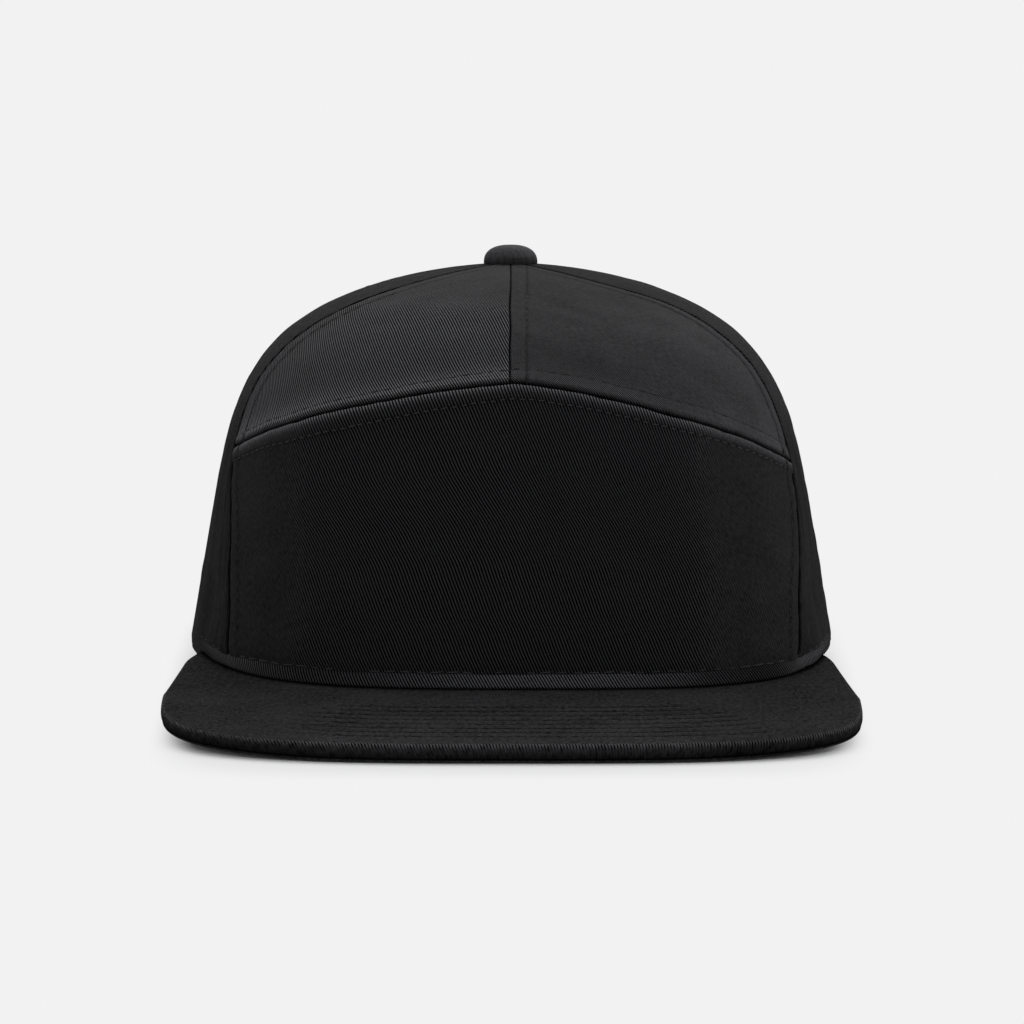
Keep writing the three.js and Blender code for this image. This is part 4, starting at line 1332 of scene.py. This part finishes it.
threadRuns(stitchLines["dark"] + [openStitching()], "crown_stitches", stitch["seamPitch"], "dark")
threadRuns(stitchLines["light"], "arch_stitches", stitch["archPitch"], "light")
litLeft, litRight, hemEnd = -46, 42, 148  # degrees between which the hem's thread is drawn lighter, a painted highlight, and its end
threadRuns([hemStitching(litLeft, litRight)], "hem_stitches", stitch["hemPitch"], "light")
threadRuns([hemStitching(-hemEnd, litLeft), hemStitching(litRight, hemEnd)], "back_hem_stitches",
           stitch["hemPitch"], "dark")
threadRuns(visorRows(), "visor_stitches", stitch["visorPitch"], "dark", stitch["visorLift"])
print("stitches laid")


# Camera, light and floor
view = {"elevation": 7.5, "distance": 2000.0, "target": (0.4, -34.0, 46.1), "pixelsPerMm": 3.7484,
        "width": 1024, "sensor": 36.0}


def setCamera():
    lift = math.radians(view["elevation"])
    x, y, z = view["target"]
    camera = bpy.data.objects.new("camera", bpy.data.cameras.new("camera"))
    camera.location = ((x + axisX) * mm, (y + axisY - view["distance"] * math.cos(lift)) * mm,
                       (z + view["distance"] * math.sin(lift)) * mm)
    camera.rotation_euler = (math.pi / 2 - lift, 0, 0)
    camera.data.sensor_width = view["sensor"]
    camera.data.lens = view["pixelsPerMm"] * view["distance"] * view["sensor"] / view["width"]
    bpy.context.scene.collection.objects.link(camera)
    bpy.context.scene.camera = camera


studio = {
    "floorHalf": 6.0, "floorShade": 0.80, "backdrop": 0.888, "ambient": 0.0,
    "poolHalf": (83.0, 141.6), "poolEdge": (0.97, 1.13),
    "sun": {"strength": 1.86, "spread": 60.0, "back": 42.0, "right": 0.0},
    "glows": {  # where each soft light comes from, how tight it is and its strength
        "left": ((-1, 0, 0.4), 4, 1.31),
        "right": ((1, 0, 0.4), 4, 2.32),
        "front": ((0, -1, 0.2), 4, 1.3),
        "below": ((0, 0, -1), 1, 0.84),
    },
}


def setStudio():
    scene = bpy.context.scene
    half = studio["floorHalf"]
    corners = [(-half, -half, 0), (half, -half, 0), (half, half, 0), (-half, half, 0)]
    mesh = bpy.data.meshes.new("floor")
    mesh.from_pydata(corners, [], [(0, 1, 2, 3)])
    floor = bpy.data.objects.new("floor", mesh)
    scene.collection.objects.link(floor)
    material, tree = newMaterial("Matt white paper")  # paper backdrop: no gloss at all
    place = addNode(tree, "TexCoord", out="Object")
    grain = addNode(tree, "TexNoise", {"Vector": place, "Scale": 700.0, "Detail": 2.0})
    bump = addNode(tree, "Bump", {"Height": grain, "Strength": 0.1, "Distance": 0.02 * mm})
    shade = studio["floorShade"]
    paper = addNode(tree, "BsdfDiffuse", {"Color": (shade, shade, shade, 1), "Normal": bump})
    # away = a squared oval round the cap, (|x/a|^8 + |y/b|^8)^(1/8), past which the paper is lit by itself
    sizes = [1 / (size * mm) for size in studio["poolHalf"]] + [0]
    squared = addNode(tree, "VectorMath", {0: place, 1: sizes}, operation="MULTIPLY")
    for _ in range(2):
        squared = addNode(tree, "VectorMath", {0: squared, 1: squared}, operation="MULTIPLY")
    away = addNode(tree, "VectorMath", {0: squared, 1: squared}, out="Value", operation="DOT_PRODUCT")
    away = addNode(tree, "Math", {0: away, 1: 0.125}, operation="POWER")
    start, end = studio["poolEdge"]
    away = addNode(tree, "MapRange", {0: away, 1: start, 2: end, 3: 0.0, 4: 1.0},
                   interpolation_type="SMOOTHSTEP")
    glow = studio["backdrop"]
    lit = addNode(tree, "Emission", {"Color": (glow, glow, glow, 1), "Strength": 1.0})
    addNode(tree, "OutputMaterial", {0: addNode(tree, "MixShader", {0: away, 1: paper, 2: lit})})
    mesh.materials.append(material)
    floor.visible_diffuse = False  # the sky below the horizon stands in for the paper's bounce
    floor.visible_glossy = False
    key = studio["sun"]
    sun = bpy.data.objects.new("overhead_softbox", bpy.data.lights.new("overhead_softbox", "SUN"))
    sun.data.energy = key["strength"]
    sun.data.angle = math.radians(key["spread"])
    sun.rotation_euler = (-math.radians(key["back"]), math.radians(key["right"]), 0)
    scene.collection.objects.link(sun)
    # sky = an even light + for each glow its strength times a power of how far it is faced
    world = bpy.data.worlds.new("studio")
    world.use_nodes = True
    scene.world = world
    tree = world.node_tree
    tree.nodes.clear()
    way = addNode(tree, "TexCoord", out="Generated")
    glow = studio["ambient"]
    for source, tightness, strength in studio["glows"].values():
        facing = addNode(tree, "VectorMath", {0: way, 1: unit(np.array(source, float))}, out="Value",
                         operation="DOT_PRODUCT")
        facing = addNode(tree, "Math", {0: facing, 1: 0.0}, operation="MAXIMUM")
        facing = addNode(tree, "Math", {0: facing, 1: tightness}, operation="POWER")
        glow = addNode(tree, "Math", {0: facing, 1: strength, 2: glow}, operation="MULTIPLY_ADD")
    soft = addNode(tree, "Background", {"Color": (0.99, 0.995, 1.0, 1), "Strength": glow})
    plain = addNode(tree, "Background", {"Color": (1, 1, 1, 1), "Strength": studio["backdrop"]})
    seen = addNode(tree, "LightPath", out="Is Camera Ray")
    addNode(tree, "OutputWorld", {0: addNode(tree, "MixShader", {0: seen, 1: soft, 2: plain})})
    scene.view_settings.view_transform = "Standard"
    scene.view_settings.look = "None"


setCamera()
setStudio()
print("studio set")
